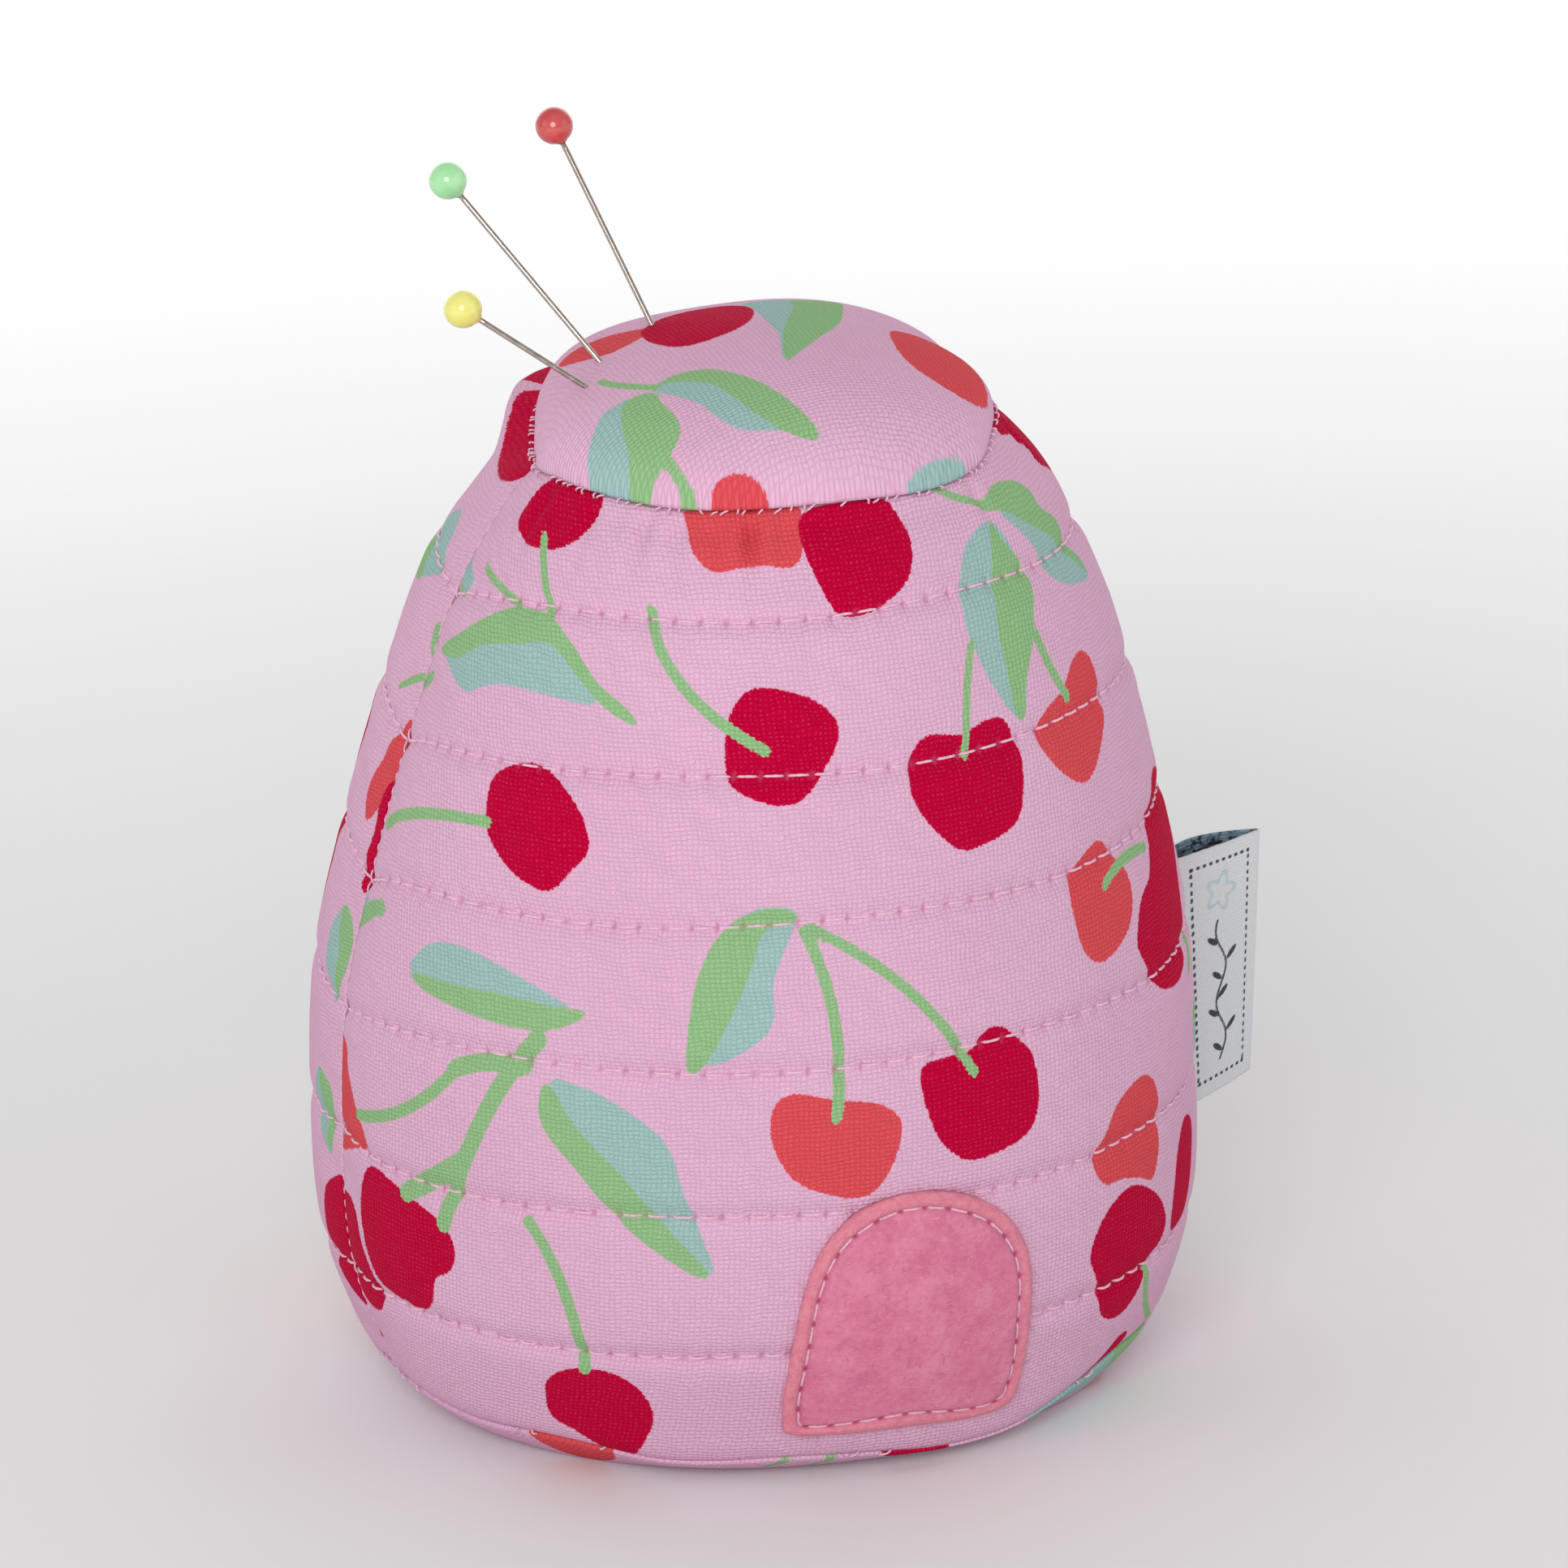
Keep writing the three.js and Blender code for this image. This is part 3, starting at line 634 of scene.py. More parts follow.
FRONT_PRINT = {
    "crimson": [
        blob((-39.3, 97.6), (-37, 99.8), (-33.6, 102), (-29, 103), (-26.3, 101.2), (-29, 98),
             (-32.4, 96.2), (-37.4, 95.8)),
        blob((-5.6, 97.6), (-4.2, 100.6), (2.8, 101.3), (5, 99.8), (6.1, 96.6), (5.2, 93.6),
             (2.6, 91.6), (-1, 90.6), (-3.8, 91.5)),
        blob((-17, 77.2), (-16.2, 81.4), (-14.2, 84.1), (-11.4, 84.5), (-7, 83), (-5, 80.2),
             (-6.6, 76.8), (-9.8, 73.5), (-13.2, 73.4), (-16.4, 75)),
        blob((-44.9, 69.4), (-44, 73.4), (-41.8, 75.4), (-38.2, 76.1), (-35.2, 74.8), (-32.9, 72),
             (-32.3, 68.6), (-34.4, 66.4), (-37.2, 64.1), (-40.6, 64.8), (-43.2, 66.6)),
        blob((1.7, 73.8), (2.6, 77), (4.6, 78.3), (8.2, 77.7), (11.6, 78.5), (14, 78), (15.5, 75),
             (15.4, 70.8), (14, 68), (10.4, 66.8), (6.9, 66.6), (4.6, 68.4), (2.6, 71)),
        blob((-0.1, 45.4), (3, 46.5), (6, 46.7), (7.8, 48.5), (9.6, 48.4), (11.6, 46.9),
             (13.3, 44.6), (13.9, 40.4), (12.8, 37), (9.6, 35.7), (6, 35.2), (3.8, 36), (1.4, 39)),
        blob((-67.6, 25), (-66.6, 29), (-65, 30.8), (-60, 30), (-55.6, 28.8), (-52.2, 27.2),
             (-51, 24.6), (-52, 22.4), (-54, 21.2), (-54.6, 18.2), (-56.6, 16.6), (-60, 16.8),
             (-64, 18), (-66.6, 21)),
        blob((-76, 24), (-72, 25.6), (-69.2, 24.6), (-68, 21.4), (-65, 17.6), (-63.8, 16), (-64.6, 14),
             (-68, 13.7), (-72, 15.4), (-76, 18)),
        blob((-76, 14.6), (-72, 14), (-70, 11), (-68, 8.4), (-76, 8)),
        blob((-39.4, 11.2), (-38, 13.2), (-35.4, 14.1), (-31.8, 13.8), (-29, 12.1), (-27.1, 9),
             (-27.4, 5.8), (-29.2, 2.6), (-32.4, 3.8), (-35.4, 5.8), (-38.4, 7.3)),
        blob((21.4, 20.4), (22.6, 23.4), (25, 25.5), (28.4, 26.4), (32, 25), (35, 22.8), (36.8, 19.8),
             (35.6, 17.6), (33, 15.8), (31.6, 13.4), (29.2, 11.6), (26.4, 11.5), (24, 13.2),
             (23.2, 16.6)),
        blob((38.4, 60.3), (41.5, 62.6), (45, 64.8), (51, 63.4), (54, 60), (53, 56), (50, 53),
             (48.5, 50), (47.5, 46), (43, 44.3), (37.3, 44.9), (34.6, 47), (31.7, 50.5), (32.2, 53),
             (34, 55.4), (37, 56.8)),
        blob((38.6, 18), (39.2, 23), (40.6, 27), (43.4, 29.1), (47, 27.4), (47, 24), (45.6, 20.4),
             (42.8, 17.8)),
        blob((26, 104.4), (34, 104.4), (41, 101), (46, 98), (46, 95), (40, 95.4), (36.5, 96.4),
             (33.4, 97.6), (32, 99.6), (29, 101.2), (26, 102.1)),
        blob((23, 4.6), (26, 6.2), (29.4, 8.2), (31.4, 7.8), (29, 5.4), (24, 3.6)),
        blob((-76, 67), (-66, 68.4), (-67.4, 65), (-68.8, 62.4), (-69.2, 59.6), (-76, 58)),
        cherry(66, 44, 12.6, 13, 10),
        cherry(60, 78, 12, 12, 0),
        cherry(62, 12, 12, 12.6, -14),
    ],
    "coral": [
        blob((-17, 99), (-16.6, 101.8), (-11, 103), (-5.4, 102), (-5.2, 98.4), (-6.8, 95.6),
             (-10.8, 95.8), (-15, 95.3), (-16.8, 96.8)),
        blob((18.4, 75), (20, 77.4), (23.6, 78.9), (26.2, 81), (28.6, 81.3), (30.4, 79.6), (31.2, 75),
             (28.6, 71), (25.4, 69.2), (22.2, 70.6), (19.6, 73)),
        blob((20.5, 60.2), (22.6, 61.8), (25.8, 63.2), (28.6, 61.6), (31, 58.8), (31.8, 56.2),
             (30, 53.2), (25, 51.4), (22, 52.8), (20.9, 56)),
        blob((-15.7, 40), (-15.2, 43.6), (-13, 44.7), (-9, 43.7), (-4.4, 42.8), (-2.2, 40.3),
             (-3.4, 36), (-6, 33.2), (-10, 33.8), (-13.6, 35.8)),
        blob((22, 30.4), (23.4, 32.8), (26, 36.2), (30.4, 37.7), (33.4, 36.4), (34.7, 33),
             (34.5, 28.4), (33, 25.7), (30.2, 26.7), (26.6, 27.7), (23.6, 28)),
        blob((-76, 41.4), (-72.6, 41.8), (-69.4, 37.8), (-65.7, 33.1), (-69.4, 31.4), (-76, 30.4)),
        cherry(58, 60, 10, 12, 10),
    ],
    "leaf": [
        (
            blob((-53, 84), (-48.4, 81.2), (-45, 82.2), (-41, 83), (-35, 82.7), (-30, 82.6),
                 (-32, 86), (-35, 89), (-42, 88), (-48, 86)),
            blob((-55, 83.6), (-50, 86), (-45, 88.3), (-40, 90.1), (-35, 90.2), (-32, 87.8),
                 (-29.8, 84.8), (-26.2, 82), (-26, 80.8), (-29, 82.2), (-31.5, 84.5), (-34.8, 87.6),
                 (-39, 87), (-45, 86), (-50, 83.8)),
        ),
        (
            blob((19, 96.6), (22, 94), (24.2, 91.6), (25.4, 89.2), (28.5, 87.7), (32, 87), (35.4, 87),
                 (32, 91), (26, 96), (21, 98)),
            blob((16.5, 97.4), (19.5, 98.9), (23.5, 98.4), (26.3, 96.8), (27.2, 95.2), (30.5, 93.3),
                 (32, 91), (35.5, 87), (32.5, 88.8), (28.5, 92), (24, 94.3), (20, 96.4)),
        ),
        (
            blob((13, 95.1), (17.4, 96.1), (20, 92), (21, 89.5), (19.6, 85), (18.2, 82), (16.8, 77.7),
                 (14.9, 78.8), (12.8, 82), (11.3, 85.6), (10.6, 88.4), (11.2, 92.2)),
            blob((17, 96.3), (15.7, 91.5), (14.9, 87), (15.3, 82), (15.7, 78.2), (17, 77.6),
                 (17.6, 80.5), (20, 85), (21.4, 89.6), (20.6, 91.6), (18.4, 94)),
        ),
        (
            blob((-18, 61.6), (-15, 63.3), (-11.4, 62.8), (-12.6, 59.8), (-14.4, 56), (-14.9, 51.8),
                 (-18, 49.2), (-22, 47.9), (-22, 52), (-20, 58)),
            blob((-23.9, 47.4), (-22.3, 47.6), (-19, 52.6), (-16.4, 57.6), (-14.8, 61), (-11.2, 61.8),
                 (-12.6, 63.1), (-15.4, 63), (-19, 61.2), (-21.8, 57), (-23.3, 52)),
        ),
        (
            blob((-56.5, 53), (-55, 55.6), (-52, 56.9), (-48, 57), (-43, 55.8), (-38.5, 54.2),
                 (-36, 52.7), (-45, 52)),
            blob((-57, 52.7), (-55, 53.2), (-50, 53.2), (-44, 53.3), (-38, 52.9), (-34, 52.7),
                 (-36.5, 51), (-41, 50.2), (-48, 50.7), (-54, 51.6)),
        ),
        (
            blob((-38.6, 44.9), (-35.5, 45.2), (-32, 44), (-27.5, 41), (-25.8, 38.6), (-24.5, 34),
                 (-22.4, 28.5), (-21.8, 25.6), (-26.5, 29), (-33, 36)),
            blob((-40, 42), (-39.5, 44.7), (-38.3, 44.6), (-36, 41), (-31, 36), (-27.5, 31.8),
                 (-24, 28), (-22, 25.4), (-23.6, 25.5), (-27.5, 28), (-31.5, 31.2), (-35.5, 35.8),
                 (-39, 39.6)),
        ),
        (
            blob((-53, 92.6), (-50.6, 91.9), (-48, 91.2), (-49.4, 90.2), (-51.4, 89.2), (-53, 89.4)),
            blob((-53, 90), (-51.6, 89.8), (-51.4, 89.2), (-53, 89)),
        ),
        (
            blob((-70.6, 58), (-67.6, 57), (-69.6, 55.2), (-71.6, 55.6)),
            stem((-63.2, 57.7), (-67, 56.5), (-71.5, 54.3), 1.6),
        ),
        leaf((51, 92), (63, 86), 8, 1.0),
        leaf((50, 38), (60, 30), 8, 1.0),
        leaf((56, 70), (66, 66), 7, 1.0),
    ],
    "stem": [
        stem((-34.6, 96.8), (-35, 94), (-34.6, 90.2), 1.0),
        stem((-45.2, 92.6), (-42.6, 91.6), (-39.4, 90.5), 1.0),
        stem((-45, 101), (-49, 99), (-53, 96.8), 0.9),
        stem((-22.6, 91.6), (-20.4, 84.8), (-12.8, 78.5), 1.2),
        stem((10.6, 100.6), (14, 98.9), (17.6, 97.6), 0.7),
        stem((20.4, 85), (21.8, 81.6), (24.2, 77.8), 1.1),
        stem((11, 86), (9.6, 81.4), (8.7, 75.6), 0.9),
        stem((-65.2, 65), (-56, 68.3), (-44.6, 69.6), 1.1),
        stem((-57.4, 80.7), (-65.6, 76.3), (-76, 71.6), 1.0),
        stem((-62.6, 73), (-66, 71), (-69.6, 68.2), 0.7),
        stem((-10.8, 60.8), (-8.6, 52), (-9, 41.8), 1.2),
        stem((-10, 61), (-0.6, 53.8), (6, 44.4), 1.1),
        stem((-39.6, 49.4), (-46.4, 41), (-52.6, 27.6), 1.9),
        stem((-41.6, 46.4), (-46, 46.2), (-50.4, 44.8), 1.8),
        stem((-50, 45), (-58, 38.9), (-67.4, 35.8), 1.3),
        stem((-49.8, 35), (-54, 32.3), (-58.3, 29.8), 2.2),
        stem((-41.6, 30), (-38, 24), (-35, 14), 1.3),
        stem((26.4, 58.6), (30.5, 59.9), (36.6, 59.7), 1.1),
        stem((33, 15.4), (36, 8.8), (44, 3.8), 1.2),
        stem((51.6, 46.4), (50.4, 44.8), (48.8, 43.8), 1.8),
    ],
}


def sprig(across, up, turn, ink):
    """A pair of cherries on a forked stem with one leaf, for cloth that no one motif fixes."""

    def at(x, y):
        return placed(x, y, across, up, turn)

    layers = {
        "crimson": [cherry(*at(-6, -15), 13, 12.4, turn)],
        "coral": [],
        "leaf": [leaf(at(-1, 4.4), at(-16, -4), 8.4, 1.2)],
        "stem": [
            stem(at(0, 4), at(-4.4, -3), at(-6, -12.4), 1.3),
            stem(at(0, 4), at(5.4, -1), at(8, -9.4), 1.2),
        ],
    }
    layers[ink].append(cherry(*at(8, -12), 12.4, 13, turn + 8))
    return layers


def gathered_print(*parts):
    """One print from several, ink by ink."""
    return {
        name: [motif for part in parts for motif in part[name]]
        for name in ("crimson", "coral", "leaf", "stem")
    }


BACK_EDGE_PRINT = {
    "crimson": [
        blob((21.6, 105), (32, 104.6), (42.2, 102.6), (43.6, 100.4), (43, 99.1), (40, 98.7),
             (34.8, 99.1), (30.4, 100.2), (25.6, 101.4), (21, 102.8)),
        blob((18.6, 105.6), (18.3, 101.8), (18.8, 99.6), (14, 98.4), (8, 99), (6, 103), (11, 106)),
        blob((64, 68.6), (69, 67.6), (72, 66), (71, 59), (68, 58)),
        blob((76, 26), (69.4, 24), (67, 17), (70, 12), (76, 12)),
    ],
    "coral": [blob((64, 78), (61, 74), (60.4, 68), (63, 64), (66, 70))],
    "leaf": [
        (
            blob((41.8, 94), (38, 94), (36, 90), (40, 87.6), (46, 88), (49, 89.6), (46.4, 91.6)),
            blob((42, 89.8), (38, 90.4), (36, 89), (40, 87), (46, 87.6)),
        ),
        leaf((66, 55), (71, 45), 6, 0.4),
        leaf((68, 37), (71, 28), 6, 0.4),
    ],
    "stem": [stem((56, 78), (60, 80), (65, 80), 1.0), stem((56, 85), (58, 83), (61, 81), 1.0)],
}

BACK_PRINT = gathered_print(
    BACK_EDGE_PRINT,
    *[
        sprig(across, up, turn, ink)
        for across, up, turn, ink in (
            (-14, 92, 12, "coral"),
            (12, 76, -150, "crimson"),
            (-44, 74, 35, "crimson"),
            (-8, 60, -20, "coral"),
            (34, 58, 100, "crimson"),
            (-42, 44, 165, "coral"),
            (4, 34, 20, "crimson"),
            (46, 26, -60, "coral"),
            (-58, 20, 50, "crimson"),
            (16, 4, 110, "coral"),
        )
    ],
)

TOP_PRINT = {
    "crimson": [
        blob((-8.6, 6.5), (-10.4, 4.3), (-10.8, 0.6), (-9.8, -2.8), (-7.2, -4), (-3, -2.9),
             (-0.2, -0.6), (1.7, 3), (2.1, 6.6), (0.4, 9.3), (-2.4, 9.6), (-5.8, 8.4)),
        cherry(12, 18, 11, 9, 0),
    ],
    "coral": [
        blob((-17.6, 10.6), (-16.8, 6.6), (-15.3, 3.4), (-13.6, 2.3), (-10.2, 3.2), (-9.2, 5),
             (-11.6, 7.6), (-14.2, 10), (-16, 11.4)),
        blob((14.8, -3), (18, -2.2), (20.8, -3.8), (22.2, -7.8), (21.4, -12.8), (19.2, -16.2),
             (16, -16.6), (13.2, -14.2), (12.6, -10.8), (13.3, -6.4)),
        blob((-14.6, -24.6), (-12.8, -23.3), (-10.2, -24), (-8.2, -25.6), (-7, -27.6), (-10, -29),
             (-14, -27)),
    ],
    "leaf": [
        (
            blob((-14.6, -9.7), (-11.5, -9.2), (-8.4, -10.4), (-5.8, -13.4), (-3.8, -17.3),
                 (-1.8, -23.4), (-4.6, -22.6), (-8.4, -21), (-10.2, -18.6), (-11.2, -15.4),
                 (-13.1, -12.2)),
            blob((-14, -9.6), (-11.5, -9), (-8.3, -10.2), (-5.8, -13.4), (-3.8, -17.3), (-1.4, -24),
                 (-4.6, -22.8), (-6.6, -19.8), (-7.8, -16.6), (-9.2, -12.8), (-12.2, -10.2)),
        ),
        (
            blob((-14.7, -10.2), (-19.2, -9.3), (-21.4, -10.9), (-22.8, -12.8), (-22.2, -15.6),
                 (-19.8, -18.6), (-15, -18), (-14.6, -13)),
            blob((-14.6, -10.4), (-17.4, -9.8), (-18.8, -12.6), (-19.4, -16), (-20.2, -19),
                 (-17.3, -19.4), (-14.7, -18.2), (-13.9, -16), (-14.4, -12.8)),
        ),
        (
            blob((2.9, 9), (2.2, 4.5), (1.6, 0), (1.3, -5), (0.2, -9), (-0.5, -12), (4.4, -7.6),
                 (8, -3), (10, 2), (10, 8)),
            blob((7.8, 8), (6.4, 3.8), (4.5, 0), (2.2, -4.5), (0.8, -8), (-0.7, -12.6), (1.4, -11.2),
                 (4.6, -8), (8.3, -3.8), (10.9, 1.3), (12.8, 7.7)),
        ),
        (
            blob((6.6, -27), (8.3, -25.8), (10.8, -24.7), (13.1, -23.6), (14.8, -22.9), (15.8, -23),
                 (15, -25.5), (11, -28)),
            blob((16, -29), (17, -29.4), (17, -30), (16, -30)),
        ),
    ],
    "stem": [
        stem((-17.8, -3.8), (-16.7, -6.6), (-14, -9.8), 0.9),
        stem((-16.4, -18.8), (-15.7, -21.2), (-14, -25), 0.8),
    ],
}

BASE_PRINT = gathered_print(
    sprig(-14, -8, 10, "coral"),
    sprig(20, 12, 120, "crimson"),
    sprig(-14, 22, -60, "coral"),
    sprig(18, -8, -10, "crimson"),
    {
        "crimson": [cherry(1.7, -42.2, 8, 5, 0)],
        "coral": [cherry(-33, -28, 12, 10, 0)],
        "leaf": [
            (
                blob((15, -42), (16, -37), (20, -33.6), (26, -30), (30, -27), (33, -29), (27, -37)),
                blob((27.4, -32), (29, -28), (33, -26), (34, -30), (29, -35)),
            ),
        ],
        "stem": [
            stem((-7, -42.6), (-7.8, -40), (-9, -37), 1.0),
            stem((-11.4, -42), (-12.2, -39.6), (-13.6, -37), 1.0),
        ],
    },
)


def paint(thing, motifs, across, up):
    """Stores how deep each point lies inside each ink of the print, in millimetres."""
    outside = np.full(across.shape, -9.0)
    depths = {name: outside.copy() for name in ("crimson", "coral", "green", "blue")}
    for name in ("crimson", "coral"):
        for motif in motifs[name]:
            depths[name] = np.maximum(depths[name], motif(across, up))
    for whole, green in motifs["leaf"]:
        depths["blue"] = np.maximum(depths["blue"], whole(across, up))
        depths["green"] = np.maximum(depths["green"], green(across, up))
    for motif in motifs["stem"]:
        depths["green"] = np.maximum(depths["green"], motif(across, up))
    for name, values in depths.items():
        add_values(thing, name, values)


# ---- inflating the quilted bands ------------------------------------------------------------

SIMULATION_SCALE = 10  # the cloth settings below suit a thing ten times larger
SIMULATION_STEPS = 24
PUFF_PRESSURE = 3.0
PUFF_SLACK = 0.004


def inflate(points, sewn):
    """Blows out a grid of cloth held at its sewn points, and gives the new points."""
    rows, columns = points.shape[:2]
    flat = points.reshape(-1, 3)
    thing = new_object("simulated", flat * SIMULATION_SCALE, grid_faces(rows, columns))
    group = thing.vertex_groups.new(name="sewn")
    group.add([int(i) for i in np.flatnonzero(sewn.ravel())], 1.0, "REPLACE")
    cloth = thing.modifiers.new("cloth", "CLOTH")
    settings = cloth.settings
    settings.quality = 7
    settings.mass = 0.3
    settings.tension_stiffness = 25
    settings.compression_stiffness = 25
    settings.shear_stiffness = 10
    settings.bending_stiffness = 0.8
    settings.air_damping = 2
    settings.vertex_group_mass = "sewn"
    settings.use_pressure = True
    settings.uniform_pressure_force = PUFF_PRESSURE
    settings.shrink_min = -PUFF_SLACK
    settings.effector_weights.gravity = 0
    cloth.point_cache.frame_start = 1
    cloth.point_cache.frame_end = SIMULATION_STEPS
    for step in range(1, SIMULATION_STEPS + 1):
        bpy.context.scene.frame_set(step)
    evaluated = thing.evaluated_get(bpy.context.evaluated_depsgraph_get())
    mesh = evaluated.to_mesh()
    result = np.empty(len(mesh.vertices) * 3)
    mesh.vertices.foreach_get("co", result)
    evaluated.to_mesh_clear()
    bpy.data.objects.remove(thing)
    bpy.context.scene.frame_set(1)
    moved = result.reshape(rows, columns, 3) / SIMULATION_SCALE - points
    size = np.linalg.norm(moved, axis=2, keepdims=True)
    capped = moved * np.minimum(1, 1.5 * PUFF_HEIGHT / np.maximum(size, 1e-9))
    return points + capped


def band_grid(angles, per_band):
    """Angles, heights and line shares of a grid whose rows follow the sewn lines."""
    heights = []
    shares = []
    for line in range(len(LINE_HEIGHTS) - 1):
        low = line_height(line, angles)
        high = line_height(line + 1, angles)
        for k in range(per_band):
            share = k / per_band
            heights.append(low + (high - low) * share)
            shares.append(line + share)
    heights.append(line_height(len(LINE_HEIGHTS) - 1, angles))
    shares.append(len(LINE_HEIGHTS) - 1)
    return np.array(heights), np.array(shares)


COARSE_COLUMNS = 81
COARSE_PER_BAND = 7
FINE_COLUMNS = 265
FINE_PER_BAND = 24


def swollen_bands(middle_angle, edge):
    """One side panel's puffed bands on its coarse grid, and the line share of each grid row."""
    angles = middle_angle + np.linspace(-edge, edge, COARSE_COLUMNS)
    heights, shares = band_grid(angles, COARSE_PER_BAND)
    plain = body_point(angles[None, :] * np.ones_like(heights), heights, 0.25 * PUFF_HEIGHT)
    normals = surface_normals(plain)
    collar = np.clip(shares - (len(LINE_HEIGHTS) - 2), 0, 1)[:, None]
    sewn = np.zeros(heights.shape, bool)
    sewn[::COARSE_PER_BAND, :] = True
    sewn[:, [0, -1]] = True
    puff = np.sum((inflate(plain, sewn) - plain) * normals, axis=2)
    return plain + normals * (puff * (1 - 0.5 * (collar > 0)))[..., None], shares


# (degrees round from the door, depth in millimetres) of each gather
TUCKS = ((-21, 1.3), (-36, 0.4), (-44, 0.6), (-57, 0.3), (33, 0.3), (64, 0.4), (-72, 0.5), (80, 0.4))
TUCK_WIDTH = math.radians(1.5)


def collar_tucks(angle, shares):
    """How deep the collar sinks: gathers that run down from the top seam, less its outward roll."""
    below_top = np.clip(len(LINE_HEIGHTS) - 1 - shares, 0, 1)[:, None]
    fade = np.exp(-((below_top / 0.5) ** 2)) * (1 - 0.8 * np.exp(-((below_top / 0.12) ** 2)))
    total = np.zeros((len(shares), len(angle)))
    for place, depth in TUCKS:
        offset = wrapped(angle[None, :] - math.radians(place)) / TUCK_WIDTH
        total += depth * MM * np.exp(-(offset**2)) * fade
        total -= 0.5 * depth * MM * np.exp(-(((np.abs(offset) - 2.4) / 1.3) ** 2)) * fade
    roll = wandering(COLLAR_ROLL, angle)[None, :] * np.exp(-(((below_top - 0.17) / 0.14) ** 2))
    return total - roll


STITCH_LENGTH = 2.7 * MM
HOLE_WIDTH = 0.42 * MM
HOLE_HEIGHT = 0.75 * MM
HOLE_SINK = 0.3 * MM
FINE_ROW_STEP = 0.62 * MM  # about the height between two rows of the fine grid


def distance_along(path):
    """How far each point of a path lies from its first point, measured along it."""
    return np.concatenate([[0], np.cumsum(np.linalg.norm(np.diff(path, axis=0), axis=1))])


def needle_places(path):
    """Distances along a path where the needle went through."""
    length = np.linalg.norm(np.diff(path, axis=0), axis=1).sum()
    count = max(2, int(round(length / STITCH_LENGTH)))
    return np.linspace(0, length, count + 1)


def hole_marks(distance, places):
    """1 at each needle place, fading to 0 between them."""
    gap = np.min(np.abs(distance[None, :] - places[:, None]), axis=0)
    return np.exp(-((gap / HOLE_WIDTH) ** 2))


def row_marks(points):
    """Needle marks on a side panel's grid, and each row's distances and needle places."""
    needle = np.zeros(points.shape[:2])
    lines = {}
    for line in range(1, len(LINE_HEIGHTS) - 1):
        row = line * FINE_PER_BAND
        distance = distance_along(points[row])
        places = needle_places(points[row])
        hole = hole_marks(distance, places)
        for near in range(-2, 3):
            spread = math.exp(-((near * FINE_ROW_STEP / HOLE_HEIGHT) ** 2))
            needle[row + near] = np.maximum(needle[row + near], hole * spread)
        lines[line] = (distance, places)
    return needle, lines


def sewn_grooves(shares):
    """How deep the cloth sinks along the quilted rows and along the two round seams."""
    from_line = np.abs(shares - np.round(shares))[:, None]
    inner_line = ((np.round(shares) > 0) & (np.round(shares) < len(LINE_HEIGHTS) - 1))[:, None]
    band = (TOP_SEAM_HEIGHT - BASE_SEAM_HEIGHT) / (len(LINE_HEIGHTS) - 1)
    groove = 0.35 * MM * np.exp(-((from_line * band / (0.8 * MM)) ** 2)) * inner_line
    edge_groove = 0.25 * MM * np.exp(-((from_line * band / (0.7 * MM)) ** 1.2)) * ~inner_line
    return groove + edge_groove


def side_panel(side, middle_angle, motifs):
    """One quilted side panel; gives its grid, normals and the lines its stitches follow."""
    edge = math.pi / 2 - 0.12 * MM / BASE_SEAM_RADIUS
    coarse, coarse_shares = swollen_bands(middle_angle, edge)
    fine_angles = np.linspace(-edge, edge, FINE_COLUMNS)
    heights, shares = band_grid(middle_angle + fine_angles, FINE_PER_BAND)
    coarse_angles = np.linspace(-edge, edge, COARSE_COLUMNS)
    tall = smooth_through(coarse_shares, coarse, shares)
    points = smooth_through(coarse_angles, tall.transpose(1, 0, 2), fine_angles).transpose(1, 0, 2)
    normals = surface_normals(points)

    needle, lines = row_marks(points)
    sink = sewn_grooves(shares) + collar_tucks(middle_angle + fine_angles, shares)
    points = points - normals * (sink + HOLE_SINK * needle)[..., None]
    for line, (distance, places) in lines.items():
        row = line * FINE_PER_BAND
        lines[line] = (points[row].copy(), normals[row].copy(), distance, places)

    across = fine_angles[None, :] * body_radius(heights) / MM
    up = heights / MM
    cloth_points = with_turned_edges(points)
    across, up, needle = [np.pad(values, 1, mode="edge") for values in (across, up, needle)]
    across[:, 0] -= TURN_IN / MM
    across[:, -1] += TURN_IN / MM
    up[0] -= TURN_IN / MM
    up[-1] += TURN_IN / MM
    cloth_faces = grid_faces(*cloth_points.shape[:2])
    panel = new_object(f"{side}_panel_cloth", cloth_points.reshape(-1, 3), cloth_faces)
    paint(panel, motifs, across, up)
    # the needle marks also tell the printed cotton where to paint shade in the needle holes
    add_values(panel, "needle", needle)
    add_cloth_map(panel, across * MM, up * MM)
    thicken(panel)
    finish_piece(panel, PRINT, "print_cotton", f"{side}_panel", fill=0.8)
    return points, normals, lines


def with_turned_edges(points):
    """A grid of cloth with one more row and column all round, folded towards the middle."""
    padded = np.pad(points, ((1, 1), (1, 1), (0, 0)), mode="edge")
    middle = np.stack([LEAN[0] * padded[..., 2], LEAN[1] * padded[..., 2], padded[..., 2]], axis=2)
    inward = middle - padded
    inward /= np.linalg.norm(inward, axis=2, keepdims=True)
    sideways = inward.copy()
    sideways[..., 1] = 0
    padded[:, [0, -1]] += sideways[:, [0, -1]] * TURN_IN
    padded[[0, -1], 1:-1] += inward[[0, -1], 1:-1] * TURN_IN
    return padded


def thicken(thing, thickness=CLOTH_THICKNESS):
    """Gives a sheet its thickness, on its inner side."""
    solid = thing.modifiers.new("thickness", "SOLIDIFY")
    solid.thickness = thickness
    solid.offset = -1


def finish_piece(thing, material, slot, *nodes, body=BODY, fill=None):
    """Material of a finished piece, which is hung on its body while the CAD nodes it replaces are hidden;
    fill is not used.
    """
    thing.data.materials.clear()
    thing.data.materials.append(material)
    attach(thing, body)
    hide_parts(*nodes)


# ---- stitches -------------------------------------------------------------------------------

